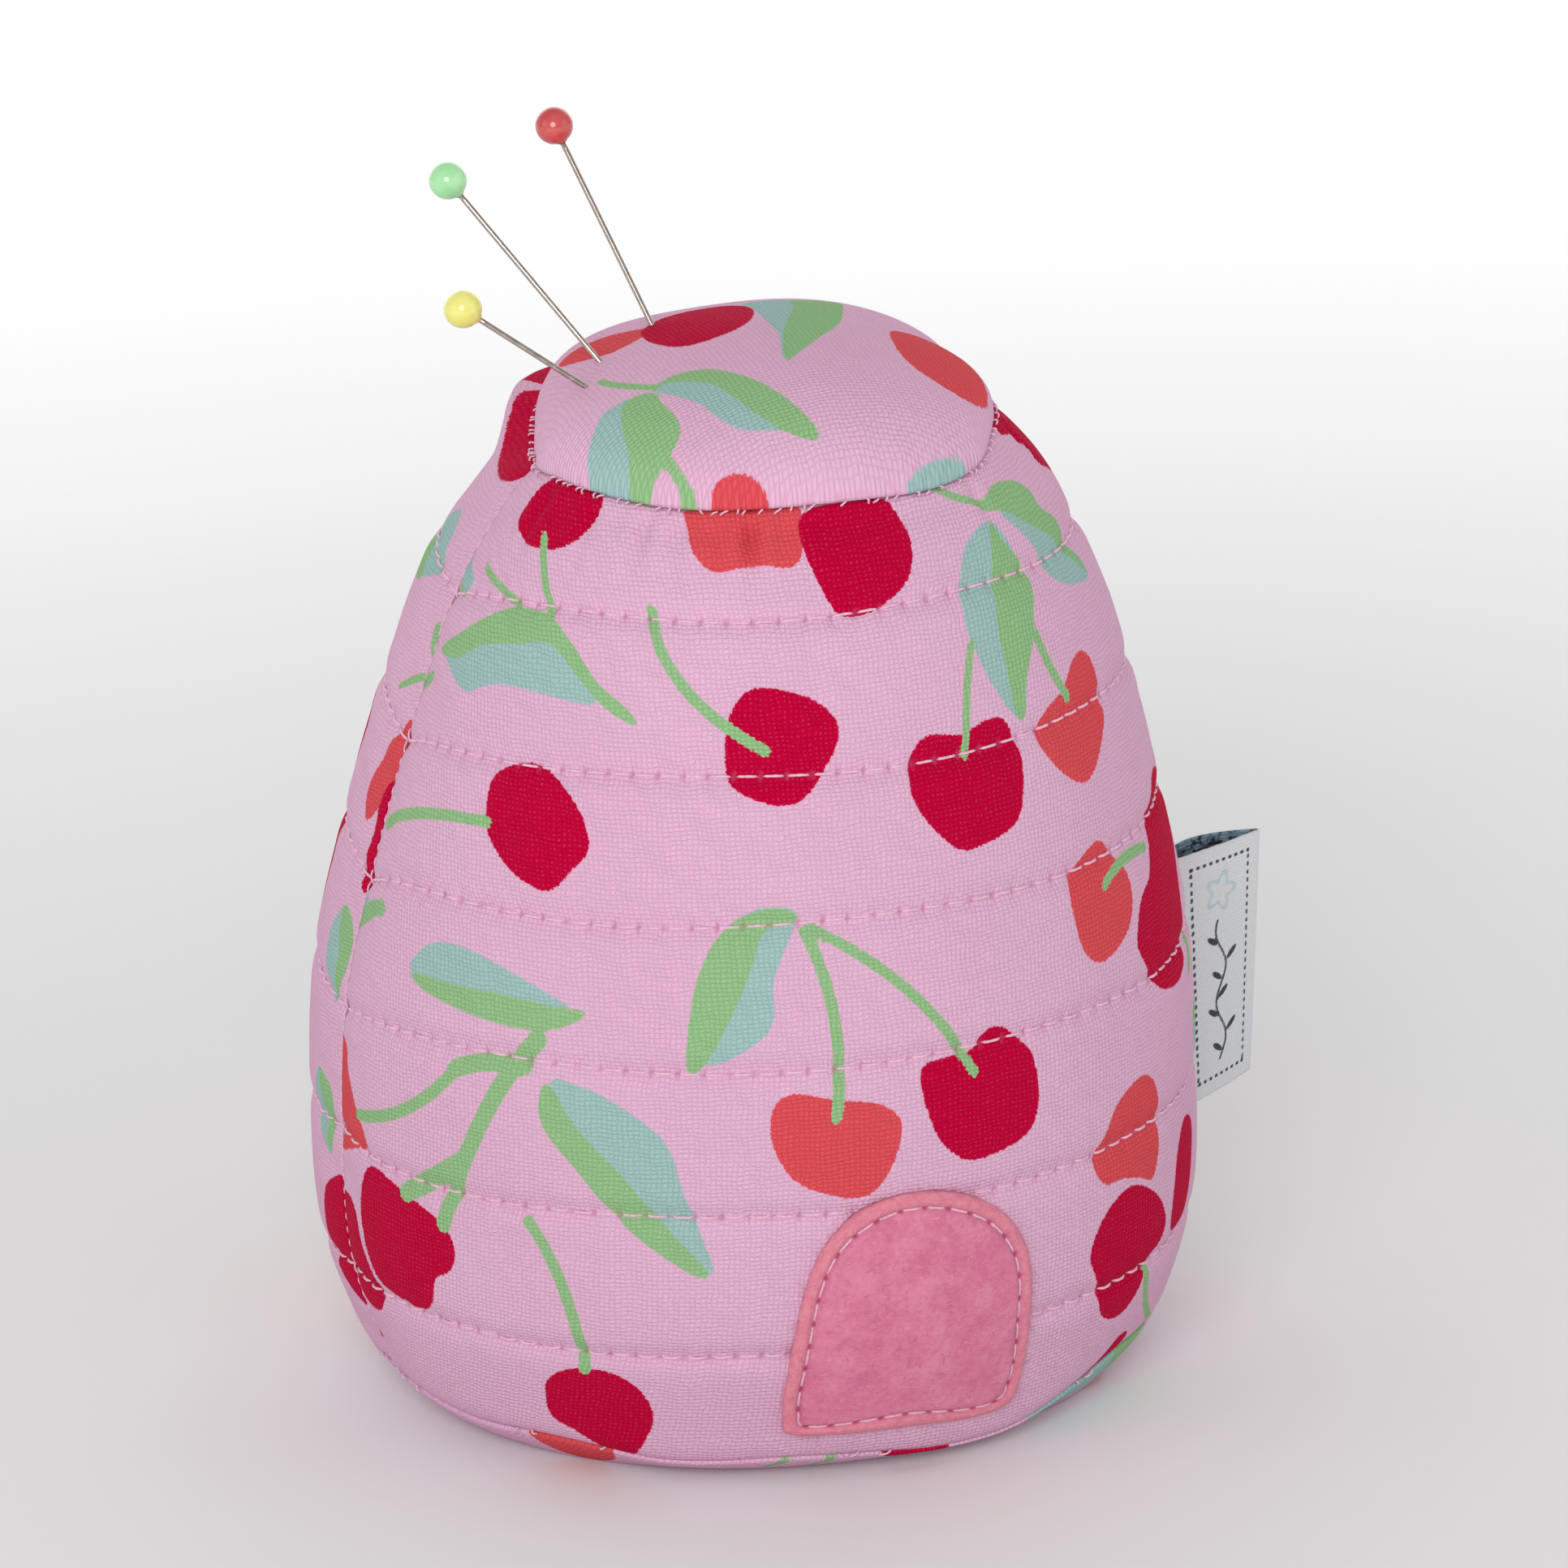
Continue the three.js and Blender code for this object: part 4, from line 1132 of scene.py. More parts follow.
THREAD_RADIUS = 0.15 * MM
FINE_THREAD_RADIUS = 0.14 * MM  # of the door's stitches


def at_distance(distance, values, where):
    """Values at distances along a path."""
    return np.stack([np.interp(where, distance, values[:, k]) for k in range(3)], axis=1)


def stitch(path, normals, distance, start, end, radius=THREAD_RADIUS, lift=0.0):
    """One stitch that rises from a needle hole, lies on the cloth and dives into the next."""
    steps = np.linspace(0.1, 0.9, 9)
    where = start + (end - start) * steps
    middle = at_distance(distance, path, where)
    out = at_distance(distance, normals, where)
    out /= np.linalg.norm(out, axis=1, keepdims=True)
    rise = lift + 0.7 * radius - 0.7 * MM * np.abs(2 * steps - 1) ** 3.5
    return tube(middle + out * rise[:, None], radius, sides=6, twist=THREAD_TWIST)


def quilting_row(name, path, normals, distance, places):
    """All the stitches of one row, each slipped and lifted a little."""
    source = random.Random(name)
    pieces = []
    for start, end in zip(places[:-1], places[1:]):
        slip = (end - start) * source.uniform(-0.05, 0.05)
        lift = source.uniform(-0.06, 0.1) * MM
        pieces.append(stitch(path, normals, distance, start + slip, end + slip, lift=lift))
    finish_piece(joined(f"{name}_stitches", pieces), THREAD, "thread", name)


def stitched_panel(side, middle_angle, motifs):
    """A side panel and its rows of quilting; gives the panel's grid and normals."""
    points, normals, lines = side_panel(side, middle_angle, motifs)
    for line, (path, out, distance, places) in lines.items():
        quilting_row(f"{side}_quilting_{line}", path, out, distance, places)
    return points, normals


front_points, front_normals = stitched_panel("front", 0.0, FRONT_PRINT)
back_points, back_normals = stitched_panel("back", math.pi, BACK_PRINT)

# ---- domed top ------------------------------------------------------------------------------

RIM_STEPS = 200
RIM_INSET = 0.35 * MM  # the top and base start this far inside the sides
DOME_STEPS = 64


def top_panel():
    """The domed cap, from its turned-under rim to the crown."""
    angles = np.linspace(-math.pi, math.pi, RIM_STEPS, endpoint=False)
    rim = body_point(angles, line_height(len(LINE_HEIGHTS) - 1, angles), RIM_INSET)
    centre = np.array([LEAN[0] * TOP_SEAM_HEIGHT, LEAN[1] * TOP_SEAM_HEIGHT, 0])
    turns = np.linspace(0, math.pi / 2, DOME_STEPS + 1)[:-1]
    rows = []
    for turn in turns:
        share = math.cos(turn)
        level = math.sin(turn) ** 0.95
        row = rim.copy()
        row[:, :2] = centre[:2] + (rim[:, :2] - centre[:2]) * share
        lump = 0.35 * MM * np.sin(3 * angles + 1.1) * share**2 * (1 - share**2) * 4
        pucker = 0.22 * MM * np.sin(angles * 41) * math.exp(-((1 - share) / 0.05))
        row[:, 2] = rim[:, 2] + (CROWN_HEIGHT - rim[:, 2]) * level + lump
        row[:, 2] += 0.05 * MM - pucker * level
        rows.append(row)
    folded = rows[0] + (centre - rows[0]) * [TURN_IN / TOP_SEAM_RADIUS, TURN_IN / TOP_SEAM_RADIUS, 0]
    grid = np.array([folded, *rows])
    points = grid.reshape(-1, 3)
    crown = len(points)
    middle = grid[-1].mean(axis=0) + [0, 0, 0.02 * MM]
    points = np.concatenate([points, [middle]])
    faces = grid_faces(len(grid), RIM_STEPS, wrap=True)
    last = (len(grid) - 1) * RIM_STEPS
    for k in range(RIM_STEPS):
        faces.append((last + k, last + (k + 1) % RIM_STEPS, crown))
    panel = new_object("top_panel_cloth", points, faces)
    across = (points[:, 0] - centre[0]) / MM
    up = (points[:, 1] - centre[1]) / MM
    paint(panel, TOP_PRINT, across, up)
    add_values(panel, "needle", np.zeros(len(points)))
    add_cloth_map(panel, across * MM, up * MM)
    thicken(panel)
    finish_piece(panel, PRINT, "print_cotton", "top_panel", fill=0.8)


top_panel()

# ---- base -----------------------------------------------------------------------------------

FOOT_GAP = 0.05 * MM  # keeps the cloth just off the floor


def base_panel():
    """The base: a rounded edge that runs down from its seam, then the flat foot."""
    angles = np.linspace(-math.pi, math.pi, RIM_STEPS, endpoint=False)
    rim = body_point(angles, line_height(0, angles), RIM_INSET) - [0, 0, 0.2 * MM]
    rows = []
    steps = np.linspace(0, 1, 15)
    for step in steps:
        turn = step * math.pi / 2
        row = rim.copy()
        shrink = 1 - (1 - FOOT_RADIUS / BASE_SEAM_RADIUS) * math.sin(turn) ** 1.3
        row[:, :2] = rim[:, :2] * shrink
        row[:, 2] = rim[:, 2] * (1 - math.sin(turn)) + FOOT_GAP
        rows.append(row)
    for step in np.linspace(0, 1, 41)[1:-1]:
        row = rows[len(steps) - 1].copy()
        row[:, :2] *= 1 - step
        row[:, 2] = FOOT_GAP
        rows.append(row)
    grid = np.array(rows[::-1])
    points = np.concatenate([grid.reshape(-1, 3), [[0, 0, FOOT_GAP]]])
    faces = grid_faces(len(rows), RIM_STEPS, wrap=True)
    for k in range(RIM_STEPS):
        faces.append(((k + 1) % RIM_STEPS, k, len(points) - 1))
    panel = new_object("base_panel_cloth", points, faces)
    across = points[:, 0] / MM
    up = points[:, 1] / MM
    paint(panel, BASE_PRINT, across, up)
    add_values(panel, "needle", np.zeros(len(points)))
    add_cloth_map(panel, across * MM, up * MM)
    thicken(panel)
    finish_piece(panel, PRINT, "print_cotton", "base_panel", fill=0.7)


base_panel()

# ---- felt door ------------------------------------------------------------------------------
# The outline's points are millimetres: across from the panel's middle, and up.

DOOR_OUTLINE = [
    (-12.6, 6.5), (-13.6, 8.2), (-13.9, 12), (-13.2, 20), (-11.8, 25.6), (-9.6, 29.4), (-6, 32),
    (-1.6, 33), (3.4, 32.2), (8, 29.8), (11, 26.4), (12.5, 22.6), (13, 17), (13, 11), (12.5, 7.6),
    (11.2, 5.6), (7, 5.2), (0, 5.8), (-7, 6),
]
DOOR_MIDDLE = (-0.4, 15.5)
FELT_THICKNESS = 1.1 * MM
DOOR_SEAM_INSET = 1.7 * MM


def closed_curve(corners, count):
    """Points spaced evenly along a closed smooth curve through a few corners."""
    corners = np.array(corners, float)
    wrapped_corners = np.concatenate([corners[-3:], corners, corners[:3]])
    spots = np.arange(-3, len(corners) + 3)
    fine = smooth_through(spots, wrapped_corners, np.linspace(0, len(corners), 40 * len(corners)))
    steps = distance_along(fine)
    even = np.linspace(0, steps[-1], count, endpoint=False)
    return np.stack([np.interp(even, steps, fine[:, k]) for k in (0, 1)], axis=1)


def axis_distance(points):
    """How far points stand from the cushion's leaning middle line."""
    return np.hypot(points[..., 0] - LEAN[0] * points[..., 2], points[..., 1] - LEAN[1] * points[..., 2])


FRONT_DISTANCE = axis_distance(front_points)
FRONT_ROWS = front_points[:, front_points.shape[1] // 2, 2]


def front_reach(angle, height):
    """Distance of the quilted front cloth from the middle line, read between grid points."""
    row = np.interp(height, FRONT_ROWS, np.arange(len(FRONT_ROWS)))
    column = (angle / math.pi + 0.5) * (FRONT_DISTANCE.shape[1] - 1)
    r = np.clip(row.astype(int), 0, FRONT_DISTANCE.shape[0] - 2)
    c = np.clip(column.astype(int), 0, FRONT_DISTANCE.shape[1] - 2)
    u = row - r
    v = column - c
    low = FRONT_DISTANCE[r, c] * (1 - v) + FRONT_DISTANCE[r, c + 1] * v
    high = FRONT_DISTANCE[r + 1, c] * (1 - v) + FRONT_DISTANCE[r + 1, c + 1] * v
    return low * (1 - u) + high * u


def front_place(flat, lift, smooth=False):
    """Points above the front cloth, from flat places on it in metres."""
    height = flat[..., 1]
    angle = flat[..., 0] / body_radius(height)
    reach = front_reach(angle, height)
    if smooth:
        level = np.mean([front_reach(angle, height + k * MM) for k in (-6, -3, 0, 3, 6)], axis=0)
        reach = np.maximum(level, reach - 0.3 * MM)
    reach = reach + lift
    x = reach * np.sin(angle) + LEAN[0] * height
    y = -reach * np.cos(angle) + LEAN[1] * height
    return np.stack([x, y, height], axis=-1)


def felt_door():
    """The laid felt patch with its sewn-down channel, stitches and loose fibres."""
    outline = closed_curve(DOOR_OUTLINE, 240) * MM
    middle = np.array(DOOR_MIDDLE) * MM
    to_middle = middle - outline
    distance = np.linalg.norm(to_middle, axis=1, keepdims=True)
    insets = [0, 0.12, 0.3, 0.55, 0.85, 1.15, 1.4, 1.55, 1.7, 1.85, 2.0, 2.25, 2.6, 3.1, 3.8, 4.8, 6, 7.5]
    rings = [outline + to_middle * (inset * MM / distance) for inset in insets]
    last = rings[-1]
    rings += [last + (middle - last) * share for share in (0.2, 0.4, 0.6, 0.8, 0.97)]
    flat = np.array(rings)
    depth = np.array([*insets, 9, 11, 13, 15, 16])[:, None] * MM
    rounded = FELT_THICKNESS * (0.45 + 0.55 * (1 - np.exp(-depth / (0.35 * MM))))
    seam = 0.55 * MM * np.exp(-(((depth - DOOR_SEAM_INSET) / (0.38 * MM)) ** 2))
    lift = (rounded - seam) * np.ones(flat.shape[:2])
    top = front_place(flat, lift, smooth=True)
    under = front_place(flat[:1], 0.08 * MM)
    points = np.concatenate([under, top]).reshape(-1, 3)
    count = flat.shape[1]
    faces = grid_faces(len(flat) + 1, count, wrap=True)
    inner = len(flat) * count
    faces.append(tuple(range(inner, inner + count)))
    faces.append(tuple(reversed(range(count))))
    door = new_object("door_felt", points, faces)
    edge = np.concatenate([[1.0], 1 - np.clip((depth[:, 0] / MM - 1.2) / 0.5, 0, 1)])
    add_values(door, "edge", np.repeat(edge, count))

    path_flat = outline + to_middle * (DOOR_SEAM_INSET / distance)
    path_flat = np.concatenate([path_flat, path_flat[:1]])
    path = front_place(path_flat, FELT_THICKNESS - 0.5 * MM, smooth=True)
    above = front_place(path_flat, FELT_THICKNESS + 0.5 * MM, smooth=True)
    out = above - path
    out /= np.linalg.norm(out, axis=1, keepdims=True)
    places = needle_places(path)
    travelled = distance_along(path)
    hole = hole_marks(travelled[:-1], places)
    # marks where the felt paints shade in the door seam's needle holes
    near_seam = np.exp(-(((depth[:, 0] - DOOR_SEAM_INSET) / (0.3 * MM)) ** 2))
    needle = np.concatenate([np.zeros((1, count)), near_seam[:, None] * hole[None, :]])
    add_values(door, "needle", needle)
    finish_piece(door, FELT, "felt", "door_patch")

    pieces = []
    for start, end in zip(places[:-1], places[1:]):
        pieces.append(stitch(path, out, travelled, start, end, radius=FINE_THREAD_RADIUS, lift=-0.05 * MM))
    finish_piece(joined("door_stitches", pieces), THREAD, "thread", "door_stitching")
    felt_hairs(outline, middle)


def felt_hairs(outline, middle):
    """Loose fibres standing out of the felt, most of them along its cut edge."""
    source = random.Random(11)
    pieces = []
    for _ in range(420):
        start = outline[source.randrange(len(outline))]
        if source.random() < 0.5:
            inward = source.uniform(-0.1, 0.4) * MM
        else:
            inward = source.uniform(0, 13) * MM
        away = (middle - start) / np.linalg.norm(middle - start)
        root = start + away * inward
        turn = source.uniform(0, 2 * math.pi)
        length = source.uniform(0.5, 1.5) * MM
        bend = source.uniform(-1.2, 1.2)
        flat = [root]
        for k in range(4):
            heading = turn + bend * k / 3
            flat.append(flat[-1] + length / 4 * np.array([math.cos(heading), math.sin(heading)]))
        lift = FELT_THICKNESS * (1 if inward > 1 * MM else 0.6)
        heights = lift + np.array([-0.1, 0.02, 0.1, 0.13, 0.1]) * MM * source.uniform(0.5, 1.6)
        path = front_place(np.array(flat), heights, smooth=True)
        pieces.append(tube(path, 0.018 * MM, sides=3))
    hairs = joined("door_fibres", pieces)
    hairs.data.materials.append(FELT)
    add_values(hairs, "edge", np.ones(len(hairs.data.vertices)))
    add_values(hairs, "needle", np.zeros(len(hairs.data.vertices)))
    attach(hairs, BODY)


felt_door()

# ---- side label -----------------------------------------------------------------------------

LABEL_LOW, LABEL_HIGH = [corner[2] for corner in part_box("side_label")]
LABEL_BEND = (math.radians(30), math.radians(21))  # how far it leans back at its foot and its top
LABEL_REACH = 14 * MM
TAPE_THICKNESS = 0.4 * MM
LABEL_STAND_OFF = 1.6 * MM


DASH_PITCH = 0.95  # millimetres
BORDER_INSET = 1.75
VINE_FOOT = 4  # millimetres above the label's foot
VINE_TURN = 0.75  # radians of the vine's wave for each millimetre up
VINE_SWING = 0.8
VINE_LEAVES = 7


def label_ink(along, up, tall):
    """Depth in the dark border dashes and running vine, and in a pale flower, in millimetres."""
    left = 4.1 - up / tall
    right = LABEL_REACH / MM - 2
    low, high = BORDER_INSET, tall - BORDER_INSET
    dashes = [np.abs(((place / DASH_PITCH) % 1) - 0.5) * DASH_PITCH for place in (up, along)]
    inside = (along > left - 0.3) & (along < right + 0.3) & (up > low - 0.3) & (up < high + 0.3)
    from_side = np.minimum(np.abs(along - left), np.abs(along - right))
    from_end = np.minimum(np.abs(up - low), np.abs(up - high))
    sides = np.minimum(0.23 - from_side, 0.29 - dashes[0])
    ends = np.minimum(0.23 - from_end, 0.29 - dashes[1])
    ink = np.where(inside, np.maximum(sides, ends), -1)
    middle = (left + right) / 2
    turns = (up - VINE_FOOT) * VINE_TURN
    from_vine = np.abs(along - middle - VINE_SWING * np.sin(turns))
    vine = 0.17 - from_vine / np.hypot(1, VINE_SWING * VINE_TURN * np.cos(turns))
    ink = np.maximum(ink, np.where((up > 3.4) & (up < tall - 8.6), vine, -1))
    for k in range(VINE_LEAVES):
        leaf_up = VINE_FOOT + 0.6 + 2.1 * k
        side = 1 if k % 2 else -1
        swing = VINE_SWING * math.sin((leaf_up - VINE_FOOT) * VINE_TURN)
        across = (along - middle - swing) * side - 1.0
        rise = up - leaf_up - 0.6 * across - 0.5
        ink = np.maximum(ink, 0.42 - np.hypot(across * 0.5, rise))
    dx = along - middle
    dy = up - (tall - 5.4)
    petals = 1.7 + 0.5 * np.cos(5 * np.arctan2(dy, dx)) - np.hypot(dx, dy)
    ring = 0.35 - np.abs(petals)
    return ink, ring


def side_label():
    """Folded tape: out from the seam, round a soft fold and back, its top left open."""
    tall = (LABEL_HIGH - LABEL_LOW) / MM
    ups = np.linspace(0, 1, 107)
    out_steps = np.linspace(0, 1, 57)
    turn_steps = np.linspace(-90, 90, 9)[1:-1]
    back_steps = np.linspace(1, 0, 40)
    fold_radius = 0.3 * MM
    reach = LABEL_REACH - fold_radius - TAPE_THICKNESS / 2

    def flat_path(up):
        """Where the tape runs, seen from above, at one height: (outwards, towards the back)."""
        front = [(reach * t, -fold_radius - 0.25 * MM * math.sin(math.pi * t)) for t in out_steps]
        fold = [
            (
                reach + fold_radius * math.cos(math.radians(degrees)),
                fold_radius * math.sin(math.radians(degrees)),
            )
            for degrees in turn_steps
        ]
        gape = (0.6 + 2.6 * up**1.5) * MM
        back = [(reach * t, fold_radius + gape * math.sin(math.pi * t) ** 0.9) for t in back_steps]
        return np.array(front + fold + back)

    low_root = body_point(np.array(math.pi / 2), np.array(LABEL_LOW))
    high_root = body_point(np.array(math.pi / 2), np.array(LABEL_HIGH))
    rows = []
    for up in ups:
        path = flat_path(up)
        root = low_root + (high_root - low_root) * up + [LABEL_STAND_OFF, 0, 0]
        turn = LABEL_BEND[0] + (LABEL_BEND[1] - LABEL_BEND[0]) * up
        bend = np.array([math.cos(turn), math.sin(turn), 0])
        side = np.array([-math.sin(turn), math.cos(turn), 0])
        lift = (1.2 - 0.8 * up) * MM * path[:, 0] / LABEL_REACH
        row = root + path[:, :1] * bend + path[:, 1:] * side
        row[:, 2] = LABEL_LOW + (LABEL_HIGH - LABEL_LOW) * up + lift
        rows.append(row)
    grid = np.array(rows)
    label = new_object("side_label_tape", grid.reshape(-1, 3), grid_faces(*grid.shape[:2]))
    path = flat_path(0.0)
    along = distance_along(path) / MM
    along_grid, up_grid = np.meshgrid(along, ups * tall)
    ink, ring = label_ink(along_grid, up_grid, tall)
    add_values(label, "ink", ink)
    add_values(label, "teal", ring)
    add_values(label, "reverse", np.zeros(ink.shape))
    add_cloth_map(label, along_grid * MM, up_grid * MM)
    turned_back(label)


def turned_back(label):
    """Gives the tape its thickness, with the dark reverse on the inside of the fold."""
    inner = label.data.copy()
    label.data.flip_normals()
    lining = bpy.data.objects.new("side_label_lining", inner)
    bpy.context.scene.collection.objects.link(lining)
    inner.attributes["reverse"].data.foreach_set("value", [1.0] * len(inner.vertices))
    thicken(label, TAPE_THICKNESS / 2)
    thicken(lining, TAPE_THICKNESS / 2)
    for thing in (label, lining):
        thing.data.materials.append(TAPE)
        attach(thing, "side_label")
        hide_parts("side_label")


side_label()

# ---- pins -----------------------------------------------------------------------------------

PIN_LENGTH = 36 * MM
PIN_RADIUS = 0.3 * MM
TIP_LENGTH = 4 * MM
HEAD_RADIUS = 2 * MM
NECK_LENGTH = 0.1 * MM
HEAD_STEPS = 28


def turned_shape(name, profile, place, axis, sides=48):
    """A smooth turned body from (distance along the axis, radius) pairs."""
    axis = Vector(axis).normalized()
    across = axis.orthogonal().normalized()
    other = axis.cross(across)
    points = []
    for along, radius in profile:
        for k in range(sides):
            turn = 2 * math.pi * k / sides
            out = across * math.cos(turn) + other * math.sin(turn)
            points.append(Vector(place) + axis * along + out * max(radius, 1e-6))
    return new_object(name, points, capped_faces(len(profile), sides))


def add_pin(colour):
    """A ball head and a pointed shaft, both along the pin's own slide."""
    joint = next(j for j in frame["joints"] if j["name"] == f"{colour}_pin_slide")
    axis = Vector(joint["axis"]).normalized()
    low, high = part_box(f"{colour}_pin_head")
    centre = (low + high) / 2
    body = f"{colour}_pin"
    turns = [math.pi * (k / HEAD_STEPS) for k in range(HEAD_STEPS + 1)]
    head_profile = [(-HEAD_RADIUS * math.cos(turn), HEAD_RADIUS * math.sin(turn)) for turn in turns]
    neck = (-HEAD_RADIUS - NECK_LENGTH, PIN_RADIUS + 0.06 * MM)
    head_profile = [neck, *[p for p in head_profile if p[0] > -HEAD_RADIUS * 0.97]]
    head = turned_shape(f"{colour}_pin_bead", head_profile, centre, axis)
    finish_piece(head, BEADS[colour], f"{colour}_bead", f"{colour}_pin_head", body=body)
    shaft_profile = [(HEAD_RADIUS - PIN_LENGTH, 0.02 * MM)]
    for k in range(1, 7):
        share = k / 6
        along = HEAD_RADIUS - PIN_LENGTH + TIP_LENGTH * share
        shaft_profile.append((along, PIN_RADIUS * share**0.7))
    for k in range(1, 25):
        along = HEAD_RADIUS - PIN_LENGTH + TIP_LENGTH
        along += (PIN_LENGTH - TIP_LENGTH - 1.8 * HEAD_RADIUS) * k / 24
        shaft_profile.append((along, PIN_RADIUS))
    shaft = turned_shape(f"{colour}_pin_wire", shaft_profile, centre, axis, sides=24)
    finish_piece(shaft, STEEL, "pin_steel", f"{colour}_pin_shaft", body=body)


for pin_colour in BEADS:
    add_pin(pin_colour)

# ---- seam threads ---------------------------------------------------------------------------


SIDE_STITCHES = 64
TOP_STITCH_PITCH = 1.15 * MM
BASE_STITCHES = 150


def side_seam_stitches(side, angle):
    """Ladder stitches that close a side seam, sunk in the crease between the two panels."""
    source = random.Random(side)
    heights = np.linspace(BASE_SEAM_HEIGHT + 1 * MM, TOP_SEAM_HEIGHT - 1 * MM, SIDE_STITCHES + 1)
    pieces = []
    for low, high in zip(heights[:-1], heights[1:]):
        slant = source.uniform(0.2, 0.42) * MM
        rise = np.linspace(low, high, 7)
        path = body_point(np.full(7, angle), rise, 0.5 * MM)
        path[:, 1] += np.linspace(-slant, slant, 7) * (1 if angle < 0 else -1)
        outward = np.sign(math.sin(angle)) * np.sin(np.linspace(0, math.pi, 7))
        path[:, 0] += 0.3 * MM * outward
        pieces.append(tube(path, 0.1 * MM, sides=6, twist=THREAD_TWIST))
    stitches = joined(f"{side}_seam_stitches", pieces)
    finish_piece(stitches, THREAD, "thread", f"{side}_seam_thread")


def ring_seam_stitches(name, node, line, lift):
    """Small slanting stitches all round a seam that joins the sides to the top or the base."""
    source = random.Random(name)
    pieces = []
    count = int(2 * math.pi * TOP_SEAM_RADIUS / TOP_STITCH_PITCH) if line else BASE_STITCHES
    left_out = 0.3 if line else 0.8
    for k in range(count):
        angle = 2 * math.pi * (k + source.uniform(-0.25, 0.25)) / count
        if source.random() < left_out:
            continue
        lean = source.uniform(-0.2, 0.45) * MM / TOP_SEAM_RADIUS
        steps = np.linspace(-1, 1, 7)
        angles = angle + lean * steps
        reach = source.uniform(0.12, 0.3) * MM
        heights = line_height(line, angles) + reach * steps + source.uniform(-0.1, 0.1) * MM
        path = body_point(angles, heights, 0)
        bulge = (lift + 0.2 * MM) * np.cos(steps * math.pi / 2) - 0.26 * MM
        outward = path.copy()
        outward[:, 2] = 0
        outward /= np.linalg.norm(outward, axis=1, keepdims=True)
        outward[:, 2] = 0.5 if line else -0.3
        pieces.append(tube(path + outward * bulge[:, None], 0.11 * MM, sides=5, twist=THREAD_TWIST))
    finish_piece(joined(name, pieces), THREAD, "thread", node)


side_seam_stitches("left", -math.pi / 2)
side_seam_stitches("right", math.pi / 2)
ring_seam_stitches("top_seam_stitches", "top_seam_thread", len(LINE_HEIGHTS) - 1, 0.12 * MM)
ring_seam_stitches("base_seam_stitches", "base_seam_thread", 0, 0.1 * MM)

# ---- wadding and stuffing ---------------------------------------------------------------------


def lumps(shape, size, seed):
    """Soft random heights from -1 to 1 that repeat over about size grid steps."""
    source = np.random.default_rng(seed)
    coarse = source.uniform(-1, 1, (shape[0] // size + 3, shape[1] // size + 3))
    rows = np.arange(shape[0]) / size
    columns = np.arange(shape[1]) / size
    part = smooth_through(np.arange(coarse.shape[0]), coarse, rows)
    return smooth_through(np.arange(coarse.shape[1]), part.T, columns).T


def add_wadding(side, points, normals):
    """The soft sheet stitched behind a side panel, pinched along each quilting row."""
    keep = points[2:-2:3, 3:-3:3]
    inward = -normals[2:-2:3, 3:-3:3]
    shares = np.linspace(0, len(LINE_HEIGHTS) - 1, keep.shape[0])
    pinch = np.abs(np.sin(math.pi * shares))[:, None] ** 0.6
    outer = keep + inward * 0.75 * MM
    depth = (1.1 * MM + 1.5 * MM * pinch + 0.25 * MM * lumps(keep.shape[:2], 4, len(side)))
    inner = keep + inward * depth[..., None]
    rows, columns = keep.shape[:2]
    faces = grid_faces(rows, columns)
    behind = [tuple(rows * columns + v for v in reversed(face)) for face in faces]
    rim = list(range(columns))
    rim += [r * columns + columns - 1 for r in range(1, rows)]
    rim += [(rows - 1) * columns + c for c in range(columns - 2, -1, -1)]
    rim += [r * columns for r in range(rows - 2, 0, -1)]
    sides = [
        (b, a, rows * columns + a, rows * columns + b) for a, b in zip(rim, rim[1:] + rim[:1])
    ]
    all_points = np.concatenate([outer.reshape(-1, 3), inner.reshape(-1, 3)])
    wadding = new_object(f"{side}_wadding_layer", all_points, faces + behind + sides)
    finish_piece(wadding, WADDING, "wadding", f"{side}_wadding", fill=0.5)


def add_stuffing():
    """The lumpy fibre filling that the pins are pushed into."""
    columns = 120
    angles = np.linspace(-math.pi, math.pi, columns, endpoint=False)
    rows = []
    for share in np.linspace(0, 1, 60):
        height = (BASE_SEAM_HEIGHT + 0.5 * MM) * (1 - share) + (TOP_SEAM_HEIGHT - 1 * MM) * share
        rows.append(body_point(angles, np.full(columns, height), 4.6 * MM))
    rise = CROWN_HEIGHT - TOP_SEAM_HEIGHT - 1.2 * MM
    rim = rows[-1]
    centre = np.array([LEAN[0] * TOP_SEAM_HEIGHT, LEAN[1] * TOP_SEAM_HEIGHT, rim[0, 2]])
    for turn in np.linspace(0, math.pi / 2, 16)[1:]:
        row = centre + (rim - centre) * max(math.cos(turn), 0.02)
        row[:, 2] += rise * math.sin(turn)
        rows.append(row)
    grid = np.array(rows)
    middle = np.array([0.0, 0.0, (BASE_SEAM_HEIGHT + TOP_SEAM_HEIGHT) / 2])
    wave = lumps(grid.shape[:2], 7, 3)
    wave[:, -8:] = wave[:, -8:] * np.linspace(1, 0, 8) + wave[:, :1] * np.linspace(0, 1, 8)
    grid = grid + (middle - grid) * (0.012 * (1 + wave))[..., None]
    filling = new_object("stuffing_fill", grid.reshape(-1, 3), capped_faces(len(rows), columns))
    finish_piece(filling, STUFFING, "fibre_stuffing", "stuffing", fill=0.8)


add_wadding("front", front_points, front_normals)
add_wadding("back", back_points, back_normals)
add_stuffing()

# ---- stage, light and camera ------------------------------------------------------------------

